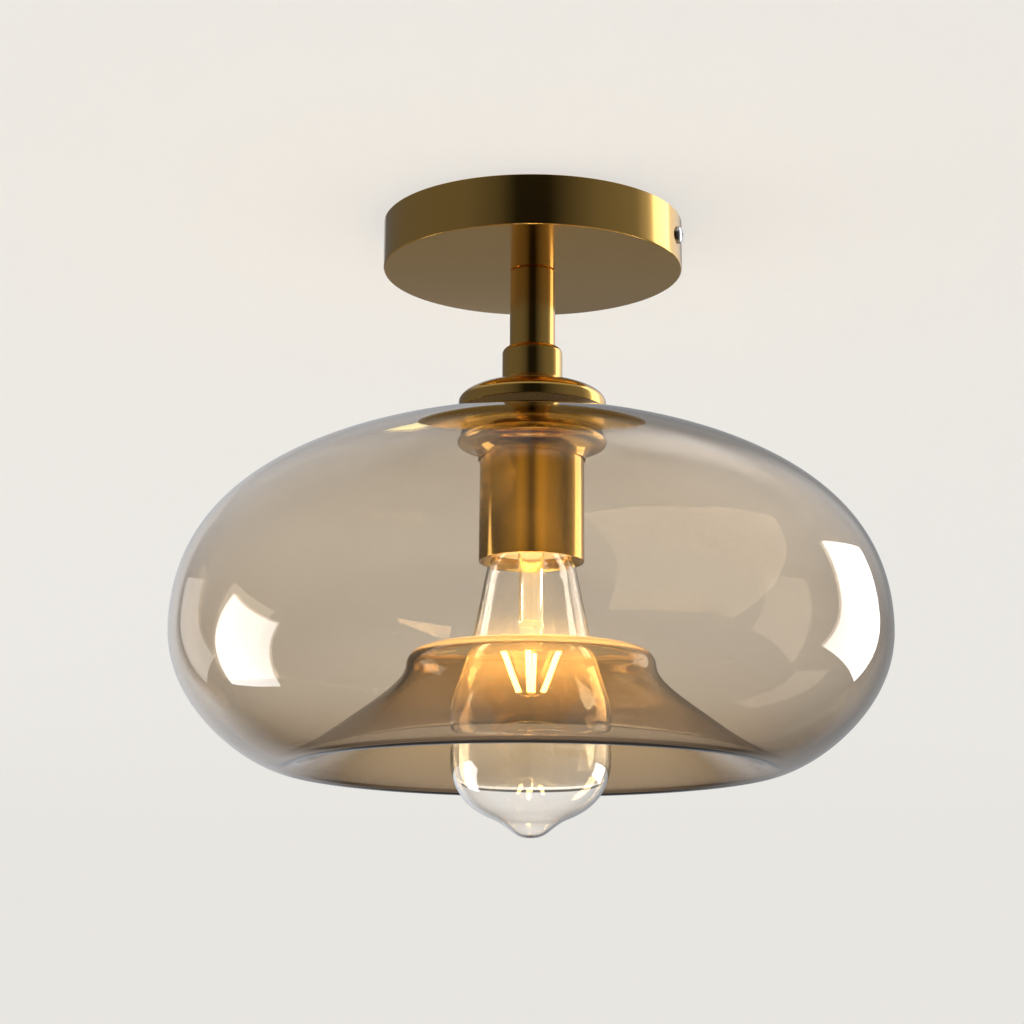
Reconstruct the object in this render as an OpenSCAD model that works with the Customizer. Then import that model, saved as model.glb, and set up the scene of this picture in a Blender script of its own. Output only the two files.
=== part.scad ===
// Semi-flush ceiling light: a brass canopy and stem carry a lampholder sleeve,
// a blown glass shade clamped by a flared retaining ring, and a filament bulb.
// The origin is on the ceiling plane, on the lamp's axis. +Z points up.

/* [Canopy] */
// Diameter of the ceiling canopy
canopy_d = 120; // [118:1:128]
// Height of the canopy wall
canopy_h = 19.8; // [19.6:0.1:22]
// Thickness of the spun canopy
canopy_wall = 1.2; // [0.8:0.1:1.4]
// Rounding of the canopy's lower edge
canopy_edge = 0.8; // [0.4:0.1:1.2]

/* [Mounting bracket] */
// Width of the steel strip
bracket_w = 20; // [18:1:24]
// Thickness of the steel strip
bracket_t = 1.5; // [1.2:0.1:1.8]
// Distance between the centres of the two ceiling screw slots
slot_spacing = 76; // [72:1:80]
// Width of a ceiling screw slot
slot_w = 5; // [4:0.5:6]
// Overall length of a ceiling screw slot
slot_len = 14; // [10:1:16]
// Diameter of the hole for the supply cable
cable_hole_d = 13; // [10:1:15]
// Depth of the side screws below the ceiling
side_screw_z = 9.4; // [8:0.1:11]

/* [Stem] */
// Outer diameter of the stem tube
stem_d = 18.2; // [16:0.1:20]
// Depth of the collar's top below the ceiling
collar_top = 51.7; // [45:0.1:55]
// Diameter of the collar
collar_d = 24; // [22:0.5:26]
// Rounding of the collar's shoulder
collar_round = 2.6; // [1:0.1:2.8]
// Diameter of the hollow threaded rod
rod_d = 9.94; // [9.9:0.01:9.98]

/* [Shade cap and ring] */
// Depth of the cap's flat top below the ceiling
cap_top = 66.6; // [66:0.1:68]
// Diameter of the cap
cap_d = 58.6; // [56:0.2:60]
// Height of the cap's domed part
cap_dome = 7.8; // [6:0.1:8]
// Height of the cap's plain rim
cap_rim = 3.2; // [2.5:0.1:3.2]
// Diameter of the flared retaining ring
ring_d = 60; // [58:0.5:62]
// Height of the retaining ring
ring_h = 10.5; // [9:0.5:11]
// Distance that the retaining ring travels on its thread
ring_travel = 8; // [4:1:8]

/* [Lampholder sleeve] */
// Outer diameter of the sleeve
sleeve_d = 41.5; // [40:0.1:41.5]
// Depth of the sleeve's lower edge below the ceiling
sleeve_end = 138.7; // [136:0.1:142]
// Thickness of the sleeve's wall
sleeve_wall = 1.1; // [0.9:0.1:1.2]
// Diameter of the sleeve's inturned mouth
mouth_d = 32.5; // [32:0.1:33]

/* [Glass shade] */
// Diameter of the glass at its widest, at the middle of the wall
shade_mid_d = 278; // [260:1:300]
// Depth of the widest circle below the ceiling
shade_equator = 168; // [160:1:176]
// Depth of the flat neck below the ceiling, at the middle of the wall
shade_neck = 82.4; // [82.4:0.1:82.6]
// Diameter of the neck hole
neck_hole_d = 44; // [43:0.5:45]
// Depth of the lowest circle below the ceiling, at the middle of the wall
shade_low = 219.5; // [214:0.5:226]
// Diameter of the lowest circle, where the wall folds upwards
fold_d = 190.6; // [180:1:200]
// Diameter of the inner bell, where its wall stands upright
bell_d = 94.2; // [92:0.2:98]
// Depth of that upright part below the ceiling
bell_top = 182.3; // [180:0.1:186]
// Radius of the lip that turns in at the top of the bell
lip_r = 6.1; // [5:0.1:6.5]
// Thickness of the glass
glass_t = 2.8; // [2.4:0.1:3]
// Thickness of the glass at the lower fold
fold_t = 3.9; // [3:0.1:4]

/* [Bulb] */
// Largest diameter of the bulb
bulb_d = 62.2; // [60:0.1:64]
// Depth of the bulb's widest circle below the ceiling
bulb_wide = 215.3; // [213:0.1:217]
// Height of the rounded end under the widest circle
bulb_end = 26; // [22:0.5:30]
// Height of the nipple at the tip
nipple_h = 5.3; // [0:0.1:8]
// Thickness of the bulb's glass
bulb_t = 0.8; // [0.6:0.1:1]
// Diameter of the bulb's screw cap
bulb_cap_d = 26.2; // [26:0.1:26.4]
// Number of light-emitting filaments
filament_count = 4; // [3:1:6]

/* [Hidden] */
$fn = 96;
gap = 0.1;

// Metal colours and others, as the lamp shows them
brass = "#a9803a";
zinc = "#b9bcc0";
chrome = "#d6d8da";
porcelain = "#f1ede2";
rubber = "#3a2a1c";

// Canopy and bracket
canopy_r = canopy_d / 2;
canopy_in = canopy_r - canopy_wall;
floor_z = -canopy_h + canopy_wall;
rod_hole_r = 5.2;
ear_out = canopy_in - 1.6;
ear_z = -15.5;
ear_corner = 4;
bend_r = 2;
screw_r = 1.95;
screw_hole_r = 2;

// Terminal block: middle of its poles, underside, spacing, size and screws
block_x = 18.5;
block_low = -13.5;
pole_pitch = 8;
pole_len = 17;
pole_w = 7.4;
clamp_x = 4.5;
clamp_r = 1.65;
block_screw_y = 4;
block_screw_r = 1.2;
block_head_r = 2.1;
block_seat = -bracket_t - 7;
wire_z = -9;

// Rod, nuts and washers
rod_r = rod_d / 2;
rod_bore_r = 3.5;
rod_top = -12.6;
nut_h = 3;
nut_flats = 14;
nut_bore_r = rod_r + 0.05;
tag_t = 0.7;
tag_z = floor_z + tag_t;
washer_t = 1;
washer_z = tag_z + washer_t;

// Stem
stem_r = stem_d / 2;
stem_wall = 1.2;
stem_seat = 3;
collar_r = collar_d / 2;
collar_end = cap_top - 1.35;

// Cap, gaskets and ring
cap_r = cap_d / 2;
cap_wall = 1.2;
cap_flat_r = 13;
cap_z = -cap_top - cap_dome;
cap_rim_z = cap_z - cap_rim;
neck_r = neck_hole_d / 2;
seat_r = 29;
seat_top = -shade_neck + glass_t / 2;
seat_low = -shade_neck - glass_t / 2;
ring_r = ring_d / 2;
ring_top = seat_low - 0.9;
ring_low = ring_top - ring_h;
bead_r = 2.15;
thread_r = sleeve_d / 2 + 0.2;
ring_bore_r = thread_r + 0.05;

// Sleeve and lampholder
sleeve_r = sleeve_d / 2;
sleeve_in = sleeve_r - sleeve_wall;
thread_low = ring_top - ring_travel;
mouth_r = mouth_d / 2;
mouth_rise = 2.9;
dome_top = -cap_top - cap_wall;
dome_wall = 1.2;
dome_flat_r = 9.5;
dome_shoulder = 4.5;
dome_low = dome_top - 8.8;
sleeve_top = dome_top - dome_shoulder - gap;
nut_a = dome_top - dome_wall;
holder_plate = nut_a - nut_h;
holder_t = 1.2;
nut_b = holder_plate - holder_t;
rod_end = nut_b - nut_h - 0.6;
body_top = -92;
body_low = -134;
body_r = 18.6;
body_lip_r = 16.2;
body_lip_z = -131.4;
shell_out = 13.95;
shell_wall = 0.4;
shell_top = -105;
shell_low = -131.2;
cavity_top = -98.6;
spring_t = 0.5;
terminal_y = 11.5;
foot_x = 11.5;
leg_x = 15;
leg_w = 12;
holder_screw_r = 1.45;
holder_screw_len = 6.5;

// Bulb
bulb_r = bulb_d / 2;
cap_shell_r = bulb_cap_d / 2;
cap_shell_t = 0.4;
cap_shoulder = -112;
cap_end = -108.4;
cap_end_r = 9.6;
cap_low = -131.8;
contact_z = -104.7;
contact_r = 4.6;
neck_glass_z = -126.5;
stem_t = 1;
filament_top = [10.9, -176.5];
filament_low = [4.65, -200.3];
filament_r = 0.9;
filament_turn = 10;
pinch_z = -173;
hub_r = 0.5;
support_r = 0.3;

// Bulb outline: power of the rounded end, width and power of the nipple, slope,
// blend and power of the flank, and start, length and depth of the neck
end_power = 2.3;
nipple_w = 9.2;
nipple_power = 3;
flank = 0.1825;
flank_blend = 16.6;
flank_power = 1.6;
neck_z = -142;
neck_len = 11;
neck_in = 3.4;

// Handles of the shade's curves, and the reach of the thicker wall at the fold
dome_out = [40, -10];
dome_up = [0, 63];
bowl_down = [0, -33];
bowl_out = [8, 0];
bell_in = [-9.6, 0];
bell_down = [0, -14.8];
fold_reach = 14;

// Routes of the two wires that run through the rod, and of the earth wire
wire_r = 1.05;
live_route = [[14, -8, -9], [10, -8, -9], [7, -7.4, -8.2], [3.6, -5, -6], [0.6, -1.8, -6.2],
              [-1.2, -0.2, -9.4], [-1.6, 0, -14], [-1.6, 0, -30], [-1.6, 0, -50], [-1.6, 0, -68],
              [-1.6, 0.4, -78], [-1.4, 3, -82], [-0.8, 8, -82.8], [-0.2, 11, -84], [0, 11.5, -87],
              [0, 11.5, -90.5]];
neutral_route = [[14, 0, -9], [10, 0, -9], [7, 0.6, -8], [4, 0.6, -6.6], [2, 0.2, -8.4],
                 [1.6, 0, -11], [1.6, 0, -14], [1.6, 0, -30], [1.6, 0, -50], [1.6, 0, -68],
                 [1.6, -0.4, -78], [1.4, -3, -82], [0.8, -8, -82.8], [0.2, -11, -84],
                 [0, -11.5, -87], [0, -11.5, -90.5]];
earth_route = [[14, 8, -9], [9.8, 8, -9], [6.6, 10, -8.6], [3.6, 15, -9], [1, 20, -11.5],
               [0, 20.6, -14.8], [0, 18.4, -16.7], [0, 15.5, -16.85], [0, 13, -16.85]];

// Points of an arc in a profile
function arc(c, r, a0, a1, n) =
    [for (i = [0 : n]) let (a = a0 + (a1 - a0) * i / n) c + r * [cos(a), sin(a)]];

// Points of a quarter of an ellipse in a profile
function oval(c, rx, rz, a0, a1, n) =
    [for (i = [0 : n]) let (a = a0 + (a1 - a0) * i / n) c + [rx * cos(a), rz * sin(a)]];

// Points of a cubic curve with two handles
function curve(p, n) =
    [for (i = [0 : n]) let (s = i / n, q = 1 - s)
        q * q * q * p[0] + 3 * q * q * s * p[1] + 3 * q * s * s * p[2] + s * s * s * p[3]];

// A list without its first point, and a list backwards
function rest(p) = [for (i = [1 : len(p) - 1]) p[i]];
function back(p) = [for (i = [len(p) - 1 : -1 : 0]) p[i]];

// Unit normals along an open line
function normals(p) =
    [for (i = [0 : len(p) - 1])
        let (d = p[min(i + 1, len(p) - 1)] - p[max(i - 1, 0)]) [-d[1], d[0]] / norm(d)];

// A line moved sideways by a distance of its own at each point
function beside(p, n, t) = [for (i = [0 : len(p) - 1]) p[i] + n[i] * t[i]];

// Half a circle round the end of a line, from one side to the other
function round_end(c, n, r, steps) =
    [for (i = [1 : steps - 1])
        let (a = 180 * i / steps) c + r * [n[0] * cos(a) + n[1] * sin(a),
                                           n[1] * cos(a) - n[0] * sin(a)]];

// Closed outline of a wall with rounded edges, drawn along its middle
function wall_outline(p, t) =
    let (n = normals(p), h = t / 2, last = len(p) - 1)
    concat(beside(p, n, h),
           round_end(p[last], n[last], h[last], 6),
           back(beside(p, n, -h)),
           round_end(p[0], -n[0], h[0], 6));

// Middle of the shade's wall: neck, dome, lower bowl, inner bell and lip
equator = [shade_mid_d / 2, -shade_equator];
low = [fold_d / 2, -shade_low];
upright = [bell_d / 2, -bell_top];
shade_line =
    let (start = [seat_r, -shade_neck],
         dome = curve([start, start + dome_out, equator + dome_up, equator], 18),
         bowl = curve([equator, equator + bowl_down, low + bowl_out, low], 16),
         bell = curve([low, low + bell_in, upright + bell_down, upright], 16),
         lip = arc(upright - [lip_r, 0], lip_r, 0, 90, 5))
    concat([[neck_r + glass_t / 2, -shade_neck]], dome, rest(bowl), rest(bell), rest(lip));
shade_wall = [for (p = shade_line)
    glass_t + (fold_t - glass_t) * exp(-pow((p[1] + shade_low) / fold_reach, 2))];

// Outside of the bulb: pulled-out tip, rounded end, flank and narrowed neck
function smooth(x) = let (c = min(max(x, 0), 1)) c * c * (3 - 2 * c);
bulb_side =
    concat([for (i = [0 : 14])
               let (a = 90 - 90 * i / 14, r = bulb_r * pow(cos(a), 2 / end_power))
               [r, -bulb_wide - bulb_end * pow(sin(a), 2 / end_power)
                   - nipple_h * exp(-pow(r / nipple_w, nipple_power))]],
           [for (i = [1 : 20])
               let (u = (bulb_wide + neck_glass_z) * i / 20)
               [bulb_r - flank * u * (1 - exp(-pow(u / flank_blend, flank_power)))
                   - neck_in * smooth((u - bulb_wide - neck_z) / neck_len), u - bulb_wide]]);

// Sweep of a round wire along a smooth line through hand-placed points
function spline(p, n) =
    concat([for (k = [0 : len(p) - 2], i = [0 : n - 1])
        let (a = p[max(k - 1, 0)], b = p[k], c = p[k + 1], d = p[min(k + 2, len(p) - 1)], s = i / n)
        0.5 * (2 * b + (c - a) * s + (2 * a - 5 * b + 4 * c - d) * s * s
               + (3 * b - 3 * c + d - a) * s * s * s)], [p[len(p) - 1]]);
function tangents(p) =
    [for (i = [0 : len(p) - 1])
        let (d = p[min(i + 1, len(p) - 1)] - p[max(i - 1, 0)]) d / norm(d)];
function carried(t, n, i = 0) =
    i == len(t) ? [] :
    let (v = n - (n * t[i]) * t[i], u = v / norm(v)) concat([u], carried(t, u, i + 1));

module wire(points, r, sides = 8) {
    p = spline(points, 3);
    t = tangents(p);
    u = carried(t, [0.3, 0.2, 0.9]);
    rings = len(p);
    ring_points = [for (i = [0 : rings - 1], j = [0 : sides - 1])
        let (a = 360 * j / sides) p[i] + r * (cos(a) * u[i] + sin(a) * cross(t[i], u[i]))];
    walls = [for (i = [0 : rings - 2], j = [0 : sides - 1])
        let (a = i * sides + j, b = i * sides + (j + 1) % sides) each
        [[a, a + sides, b], [b, a + sides, b + sides]]];
    ends = [for (j = [1 : sides - 2]) each
        [[0, j, j + 1], [(rings - 1) * sides, (rings - 1) * sides + j + 1, (rings - 1) * sides + j]]];
    polyhedron(ring_points, concat(walls, ends));
}

// A pan-head screw, its head up and the head's seat at z = 0
module pan_screw(r, length, head_r, head_h) {
    difference() {
        rotate_extrude() polygon(concat(
            [[0, -length], [r - 0.4, -length], [r, -length + 0.4], [r, 0], [head_r, 0]],
            oval([0, head_h * 0.35], head_r, head_h * 0.65, 0, 90, 8)));
        for (a = [0, 90]) rotate(a)
            translate([-head_r * 0.55, -0.4, head_h * 0.45]) cube([head_r * 1.1, 0.8, head_h]);
    }
}

// A rod between two points
module rod_between(a, b, r) {
    d = b - a;
    translate(a) rotate([0, acos(d[2] / norm(d)), atan2(d[1], d[0])])
        cylinder(r = r, h = norm(d), $fn = 24);
}

// A hexagon nut with its lower face at z = 0
module hex_nut() {
    difference() {
        cylinder(d = nut_flats / cos(30), h = nut_h, $fn = 6);
        translate([0, 0, -1]) cylinder(r = nut_bore_r, h = nut_h + 2);
    }
}

// Bent steel strip that is screwed to the ceiling
module mounting_bracket() {
    half = ear_out - bracket_t / 2;
    mid_z = -bracket_t / 2;
    bend = arc([half - bend_r, mid_z - bend_r], bend_r, 0, 90, 6);
    line = concat([[half, ear_z]], bend, [for (p = back(bend)) [-p[0], p[1]]], [[-half, ear_z]]);
    color(zinc) difference() {
        intersection() {
            rotate([90, 0, 0]) linear_extrude(bracket_w, center = true)
                polygon(let (n = normals(line), h = [for (p = line) bracket_t / 2])
                    concat(beside(line, n, h), back(beside(line, n, -h))));
            rotate([90, 0, 90]) linear_extrude(canopy_d, center = true)
                polygon(concat(
                    [[bracket_w / 2, 1]], [[-bracket_w / 2, 1]],
                    arc([-bracket_w / 2 + ear_corner, ear_z + ear_corner], ear_corner, 180, 270, 6),
                    arc([bracket_w / 2 - ear_corner, ear_z + ear_corner], ear_corner, -90, 0, 6)));
        }
        for (side_x = [-1, 1]) {
            for (end = [-1, 1])
                translate([side_x * slot_spacing / 2 + end * (slot_len - slot_w) / 2, 0, -3])
                    cylinder(d = slot_w, h = 6);
            translate([side_x * slot_spacing / 2 - (slot_len - slot_w) / 2, -slot_w / 2, -3])
                cube([slot_len - slot_w, slot_w, 6]);
            translate([side_x * half, 0, -side_screw_z]) rotate([0, 90, 0])
                cylinder(r = screw_hole_r, h = 6, center = true);
        }
        translate([0, 0, -3]) cylinder(d = cable_hole_d, h = 6);
        for (y = [-block_screw_y, block_screw_y])
            translate([block_x, y, -3]) cylinder(r = block_screw_r + 0.05, h = 6);
    }
}

// Spun brass pan that covers the bracket
module canopy() {
    inner_edge = 0.4;
    color(brass) difference() {
        rotate_extrude() polygon(concat(
            [[rod_hole_r, -canopy_h]],
            arc([canopy_r - canopy_edge, -canopy_h + canopy_edge], canopy_edge, -90, 0, 5),
            [[canopy_r, 0], [canopy_in, 0]],
            arc([canopy_in - inner_edge, floor_z + inner_edge], inner_edge, 0, -90, 3),
            [[rod_hole_r, floor_z]]));
        for (side_x = [-1, 1])
            translate([side_x * (canopy_r - canopy_wall / 2), 0, -side_screw_z])
                rotate([0, 90, 0]) cylinder(r = 2.3, h = 5, center = true);
    }
}

// The two side screws that hold the canopy to the bracket's ears
module canopy_screws() {
    color(chrome) for (side_x = [0, 180]) rotate(side_x)
        translate([canopy_r, 0, -side_screw_z]) rotate([0, 90, 0])
            pan_screw(screw_r, 9, 3.5, 1.9);
}

// Three-pole block where the supply cable meets the lamp's own wires
module terminal_block() {
    tower_h = 2.5;
    color(porcelain) difference() {
        union() {
            for (k = [-1 : 1]) translate([block_x, k * pole_pitch, 0]) {
                translate([-pole_len / 2, -pole_w / 2, block_low + tower_h])
                    cube([pole_len, pole_w, -bracket_t - block_low - tower_h]);
                for (x = [-clamp_x, clamp_x]) translate([x, 0, block_low])
                    cylinder(r = 3.2, h = tower_h + 1);
            }
            translate([block_x - 3.5, -pole_pitch - 1, block_seat])
                cube([7, 2 * pole_pitch + 2, -bracket_t - block_seat]);
        }
        for (k = [-1 : 1]) translate([block_x, k * pole_pitch, 0]) {
            translate([-pole_len / 2 - 1, 0, wire_z]) rotate([0, 90, 0])
                cylinder(r = 1.4, h = pole_len + 2);
            for (x = [-clamp_x, clamp_x]) translate([x, 0, block_low - 1])
                cylinder(r = clamp_r + 0.1, h = 4.2);
        }
        for (y = [-block_screw_y, block_screw_y]) translate([block_x, y, block_low - 1]) {
            cylinder(r = block_screw_r + 0.1, h = 20);
            cylinder(r = block_head_r + 0.15, h = block_seat - block_low + 1);
        }
    }
}

// Clamp screws of the terminal block
module terminal_screws() {
    color(zinc) for (k = [-1 : 1], x = [-clamp_x, clamp_x])
        translate([block_x + x, k * pole_pitch, block_low + 0.4]) difference() {
            cylinder(r = clamp_r, h = 2.6);
            translate([-2, -0.3, -0.1]) cube([4, 0.6, 0.8]);
        }
}

// Screws that fasten the terminal block to the bracket
module block_screws() {
    color(zinc) for (y = [-block_screw_y, block_screw_y])
        translate([block_x, y, block_seat]) rotate([180, 0, 0])
            pan_screw(block_screw_r, 8.2, block_head_r, 1.6);
}

// Ring tag that earths the canopy and the rod
module earth_tag() {
    barrel_r = 1.75;
    color(brass) difference() {
        union() {
            translate([0, 0, floor_z]) cylinder(r = 8, h = tag_t);
            translate([-2.2, 0, floor_z]) cube([4.4, 13, tag_t]);
            translate([0, 12, floor_z + barrel_r]) rotate([-90, 0, 0])
                cylinder(r = barrel_r, h = 5);
        }
        translate([0, 0, floor_z - 1]) cylinder(r = rod_hole_r, h = 4);
        translate([0, 11, floor_z + barrel_r]) rotate([-90, 0, 0])
            cylinder(r = wire_r + 0.15, h = 7);
    }
}

// Toothed washer under the upper nut
module lock_washer() {
    teeth = 12;
    color(zinc) difference() {
        translate([0, 0, tag_z]) cylinder(r = 8.4, h = washer_t);
        translate([0, 0, tag_z - 1]) cylinder(r = rod_hole_r, h = 4);
        for (k = [0 : teeth - 1]) rotate(k * 360 / teeth)
            translate([6.9, -0.4, tag_z - 1]) cube([3, 0.8, 4]);
    }
}

// Three thin nuts: one in the canopy and two in the sleeve
module rod_nuts() {
    color(brass) {
        translate([0, 0, washer_z]) hex_nut();
        translate([0, 0, nut_a - nut_h]) hex_nut();
        translate([0, 0, nut_b - nut_h]) rotate(30) hex_nut();
    }
}

// Hollow threaded rod from the canopy to the lampholder
module threaded_rod() {
    chamfer = 0.6;
    color(zinc) rotate_extrude() polygon([
        [rod_bore_r, rod_top], [rod_r - chamfer, rod_top], [rod_r, rod_top - chamfer],
        [rod_r, rod_end + chamfer], [rod_r - chamfer, rod_end], [rod_bore_r, rod_end]]);
}

// Tube that covers the rod under the canopy
module stem_tube() {
    color(brass) rotate_extrude() polygon([
        [stem_r - stem_wall, -canopy_h], [stem_r, -canopy_h],
        [stem_r, -collar_top - stem_seat], [stem_r - stem_wall, -collar_top - stem_seat]]);
}

// Turned collar with a rounded shoulder, counterbored for the stem tube
module stem_collar() {
    seat = stem_r + 0.05;
    lead = 0.3;
    color(brass) rotate_extrude() polygon(concat(
        [[rod_hole_r, -collar_end], [collar_r - lead, -collar_end], [collar_r, -collar_end + lead]],
        arc([collar_r - collar_round, -collar_top - collar_round], collar_round, 0, 90, 8),
        [[seat, -collar_top], [seat, -collar_top - stem_seat], [rod_hole_r, -collar_top - stem_seat]]));
}

// Chamfered washer between the collar and the cap
module collar_washer() {
    color(brass) rotate_extrude() polygon([
        [rod_hole_r, -cap_top], [cap_flat_r, -cap_top], [14.5, -cap_top + 0.1],
        [14.6, -cap_top + 0.3], [12.9, -collar_end], [rod_hole_r, -collar_end]]);
}

// Domed cap that presses on the glass through the upper gasket
module shade_cap() {
    dome_start = acos(cap_flat_r / cap_r);
    dome_h = cap_dome / sin(dome_start);
    color(brass) rotate_extrude() polygon(concat(
        [[rod_hole_r, -cap_top - cap_wall], [rod_hole_r, -cap_top]],
        oval([0, cap_z], cap_r, dome_h, dome_start, 0, 12),
        [[cap_r, cap_rim_z + 0.3], [cap_r - 0.3, cap_rim_z], [cap_r - cap_wall, cap_rim_z]],
        oval([0, cap_z], cap_r - cap_wall, dome_h - cap_wall, 0, dome_start, 12)));
}

// Flat silicone ring between the cap's rim and the neck of the glass
module upper_gasket() {
    color(rubber) rotate_extrude() translate([neck_r + 0.2, seat_top + gap])
        square([seat_r - neck_r - 0.2, cap_rim_z - seat_top - gap]);
}

// Closed upper end of the lampholder, screwed over the top of the sleeve
module sleeve_dome() {
    bore = thread_r + 0.05;
    corner_z = dome_top - dome_shoulder;
    color(brass) rotate_extrude() polygon(concat(
        [[rod_hole_r, dome_top]],
        oval([dome_flat_r, corner_z], bore + dome_wall - dome_flat_r, dome_shoulder, 90, 0, 8),
        [[bore + dome_wall, dome_low], [bore, dome_low]],
        oval([dome_flat_r - 0.4, corner_z], bore - dome_flat_r + 0.4,
             dome_shoulder - dome_wall, 0, 90, 8),
        [[rod_hole_r, nut_a]]));
}

// Sleeve: thread zone for dome and ring, plain wall, inturned mouth
module lampholder_sleeve() {
    lip_t = 1.1;
    color(brass) rotate_extrude() polygon([
        [sleeve_in, sleeve_top], [thread_r - 0.3, sleeve_top], [thread_r, sleeve_top - 0.3],
        [thread_r, thread_low + 0.2], [sleeve_r, thread_low],
        [sleeve_r, -sleeve_end + 0.3], [sleeve_r - 0.3, -sleeve_end],
        [sleeve_in, -sleeve_end], [mouth_r, -sleeve_end + mouth_rise],
        [mouth_r, -sleeve_end + mouth_rise + lip_t], [sleeve_in, -sleeve_end + 1.5]]);
}

// Steel saddle that carries the porcelain body between the two lower nuts
module lampholder_bracket() {
    color(zinc) difference() {
        union() {
            translate([-leg_x, -leg_w / 2, nut_b]) cube([2 * leg_x, leg_w, holder_t]);
            for (side_x = [0, 180]) rotate(side_x) {
                translate([leg_x - holder_t, -leg_w / 2, body_top])
                    cube([holder_t, leg_w, nut_b - body_top + 0.1]);
                translate([foot_x - 3, -leg_w / 2, body_top])
                    cube([leg_x - foot_x + 3, leg_w, holder_t]);
            }
        }
        translate([0, 0, nut_b - 1]) cylinder(r = rod_hole_r, h = 4);
        for (x = [-foot_x, foot_x])
            translate([x, 0, body_top - 1]) cylinder(r = holder_screw_r + 0.25, h = 4);
    }
}

// Screws that fasten the porcelain body to the saddle
module lampholder_screws() {
    color(zinc) for (x = [-foot_x, foot_x]) translate([x, 0, body_top + holder_t])
        pan_screw(holder_screw_r, holder_screw_len, 2.2, 1.5);
}

// Porcelain lampholder body
module lampholder_body() {
    bore = shell_out + 0.05;
    hole_low = body_top + holder_t - holder_screw_len - 0.3;
    color(porcelain) difference() {
        rotate_extrude() polygon(concat(
            [[0, body_top]],
            arc([body_r - 1.5, body_top - 1.5], 1.5, 90, 0, 4),
            [[body_r, body_low + 1], [body_r - 1, body_low], [body_lip_r, body_low],
             [body_lip_r, body_lip_z], [bore, body_lip_z], [bore, cavity_top], [0, cavity_top]]));
        for (x = [-foot_x, foot_x])
            translate([x, 0, hole_low]) cylinder(r = holder_screw_r + 0.05, h = 8);
    }
}

// Brass shell that takes the bulb's screw cap
module screw_shell() {
    rim_r = 11;
    color(brass) rotate_extrude() polygon([
        [shell_out, shell_top], [shell_out, shell_low], [shell_out - shell_wall, shell_low],
        [shell_out - shell_wall, shell_top - shell_wall], [rim_r, shell_top - shell_wall],
        [rim_r, shell_top]]);
}

// Sprung tongue that touches the bulb's centre contact
module contact_spring() {
    tip_z = contact_z + spring_t / 2;
    root_z = cavity_top - spring_t / 2;
    line = concat(curve([[-8, root_z], [-2, root_z], [-5, tip_z], [0, tip_z]], 8),
                  arc([0, tip_z + 3], 3, -70, -20, 4));
    color(brass) rotate([90, 0, 0]) linear_extrude(6, center = true)
        polygon(let (n = normals(line), h = [for (p = line) spring_t / 2])
            concat(beside(line, n, h), back(beside(line, n, -h))));
}

// Brass blocks on the porcelain body that clamp the two wires
module wire_terminals() {
    block = [6, 5, 6];
    mid = block[2] / 2;
    screw = 1;
    color(brass) for (side_y = [0, 180]) rotate(side_y) translate([0, terminal_y, body_top]) {
        difference() {
            translate([-block[0] / 2, -block[1] / 2, 0]) cube(block);
            translate([0, 0, 0.8]) cylinder(r = wire_r + 0.2, h = block[2]);
            translate([0, 0, mid]) rotate([-90, 0, 0]) cylinder(r = screw + 0.05, h = 6);
        }
        translate([0, wire_r + 0.3, mid]) rotate([-90, 0, 0]) cylinder(r = screw, h = 2.4);
    }
}

// Brown live wire, blue neutral wire and the earth wire of the canopy
module live_wire() { color("#6b3f22") wire(live_route, wire_r); }
module neutral_wire() { color("#2f5fa8") wire(neutral_route, wire_r); }
module earth_wire() { color("#7fa02c") wire(earth_route, wire_r); }

// Blown shade: one glass wall from the neck round the bowl and up into a bell
module glass_shade() {
    color("#b59a7a", 0.45) rotate_extrude() polygon(wall_outline(shade_line, shade_wall));
}

// Silicone ring between the glass and the retaining ring
module lower_gasket() {
    bore = neck_r + 0.4;
    color(rubber) rotate_extrude() translate([bore, ring_top + gap])
        square([ring_r - bead_r - bore - 0.2, seat_low - ring_top - gap]);
}

// Flared ring that screws up the sleeve and carries the shade
module retaining_ring() {
    bead = [ring_r - bead_r, ring_top - bead_r];
    foot_r = ring_bore_r + 0.5;
    cove = bead + bead_r * [cos(-75), sin(-75)];
    color(brass) rotate_extrude() polygon(concat(
        [[ring_bore_r, ring_top]],
        arc(bead, bead_r, 90, -75, 10),
        rest(oval([cove[0], ring_low], foot_r - cove[0], cove[1] - ring_low, 90, 0, 10)),
        [[ring_bore_r, ring_low]]));
}

// Centre contact of the bulb, with the pin that fixes it in the insulator
module bulb_contact() {
    rim = contact_z - 1;
    color(zinc) rotate_extrude() polygon(concat(
        [[0, rim - 1.5], [1, rim - 1.5], [1, rim], [contact_r, rim]],
        oval([0, rim], contact_r, 1, 20, 90, 6)));
}

// Screw cap of the bulb
module bulb_cap() {
    inner = cap_end_r - cap_shell_t;
    color(zinc) rotate_extrude() polygon([
        [cap_shell_r, cap_low], [cap_shell_r, cap_shoulder], [cap_end_r, cap_end], [inner, cap_end],
        [inner, cap_end - cap_shell_t - gap], [cap_shell_r - cap_shell_t, cap_shoulder - 0.2],
        [cap_shell_r - cap_shell_t, cap_low]]);
}

// Black glass insulator at the end of the screw cap
module bulb_insulator() {
    top = contact_z - 1 - gap;
    edge = cap_end_r - cap_shell_t - gap;
    color("#1c1c20") rotate_extrude() polygon([
        [1.1, top], [contact_r + 0.6, top], [edge, cap_end], [edge, cap_end - 0.8],
        [1.1, cap_end - 0.8]]);
}

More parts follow.
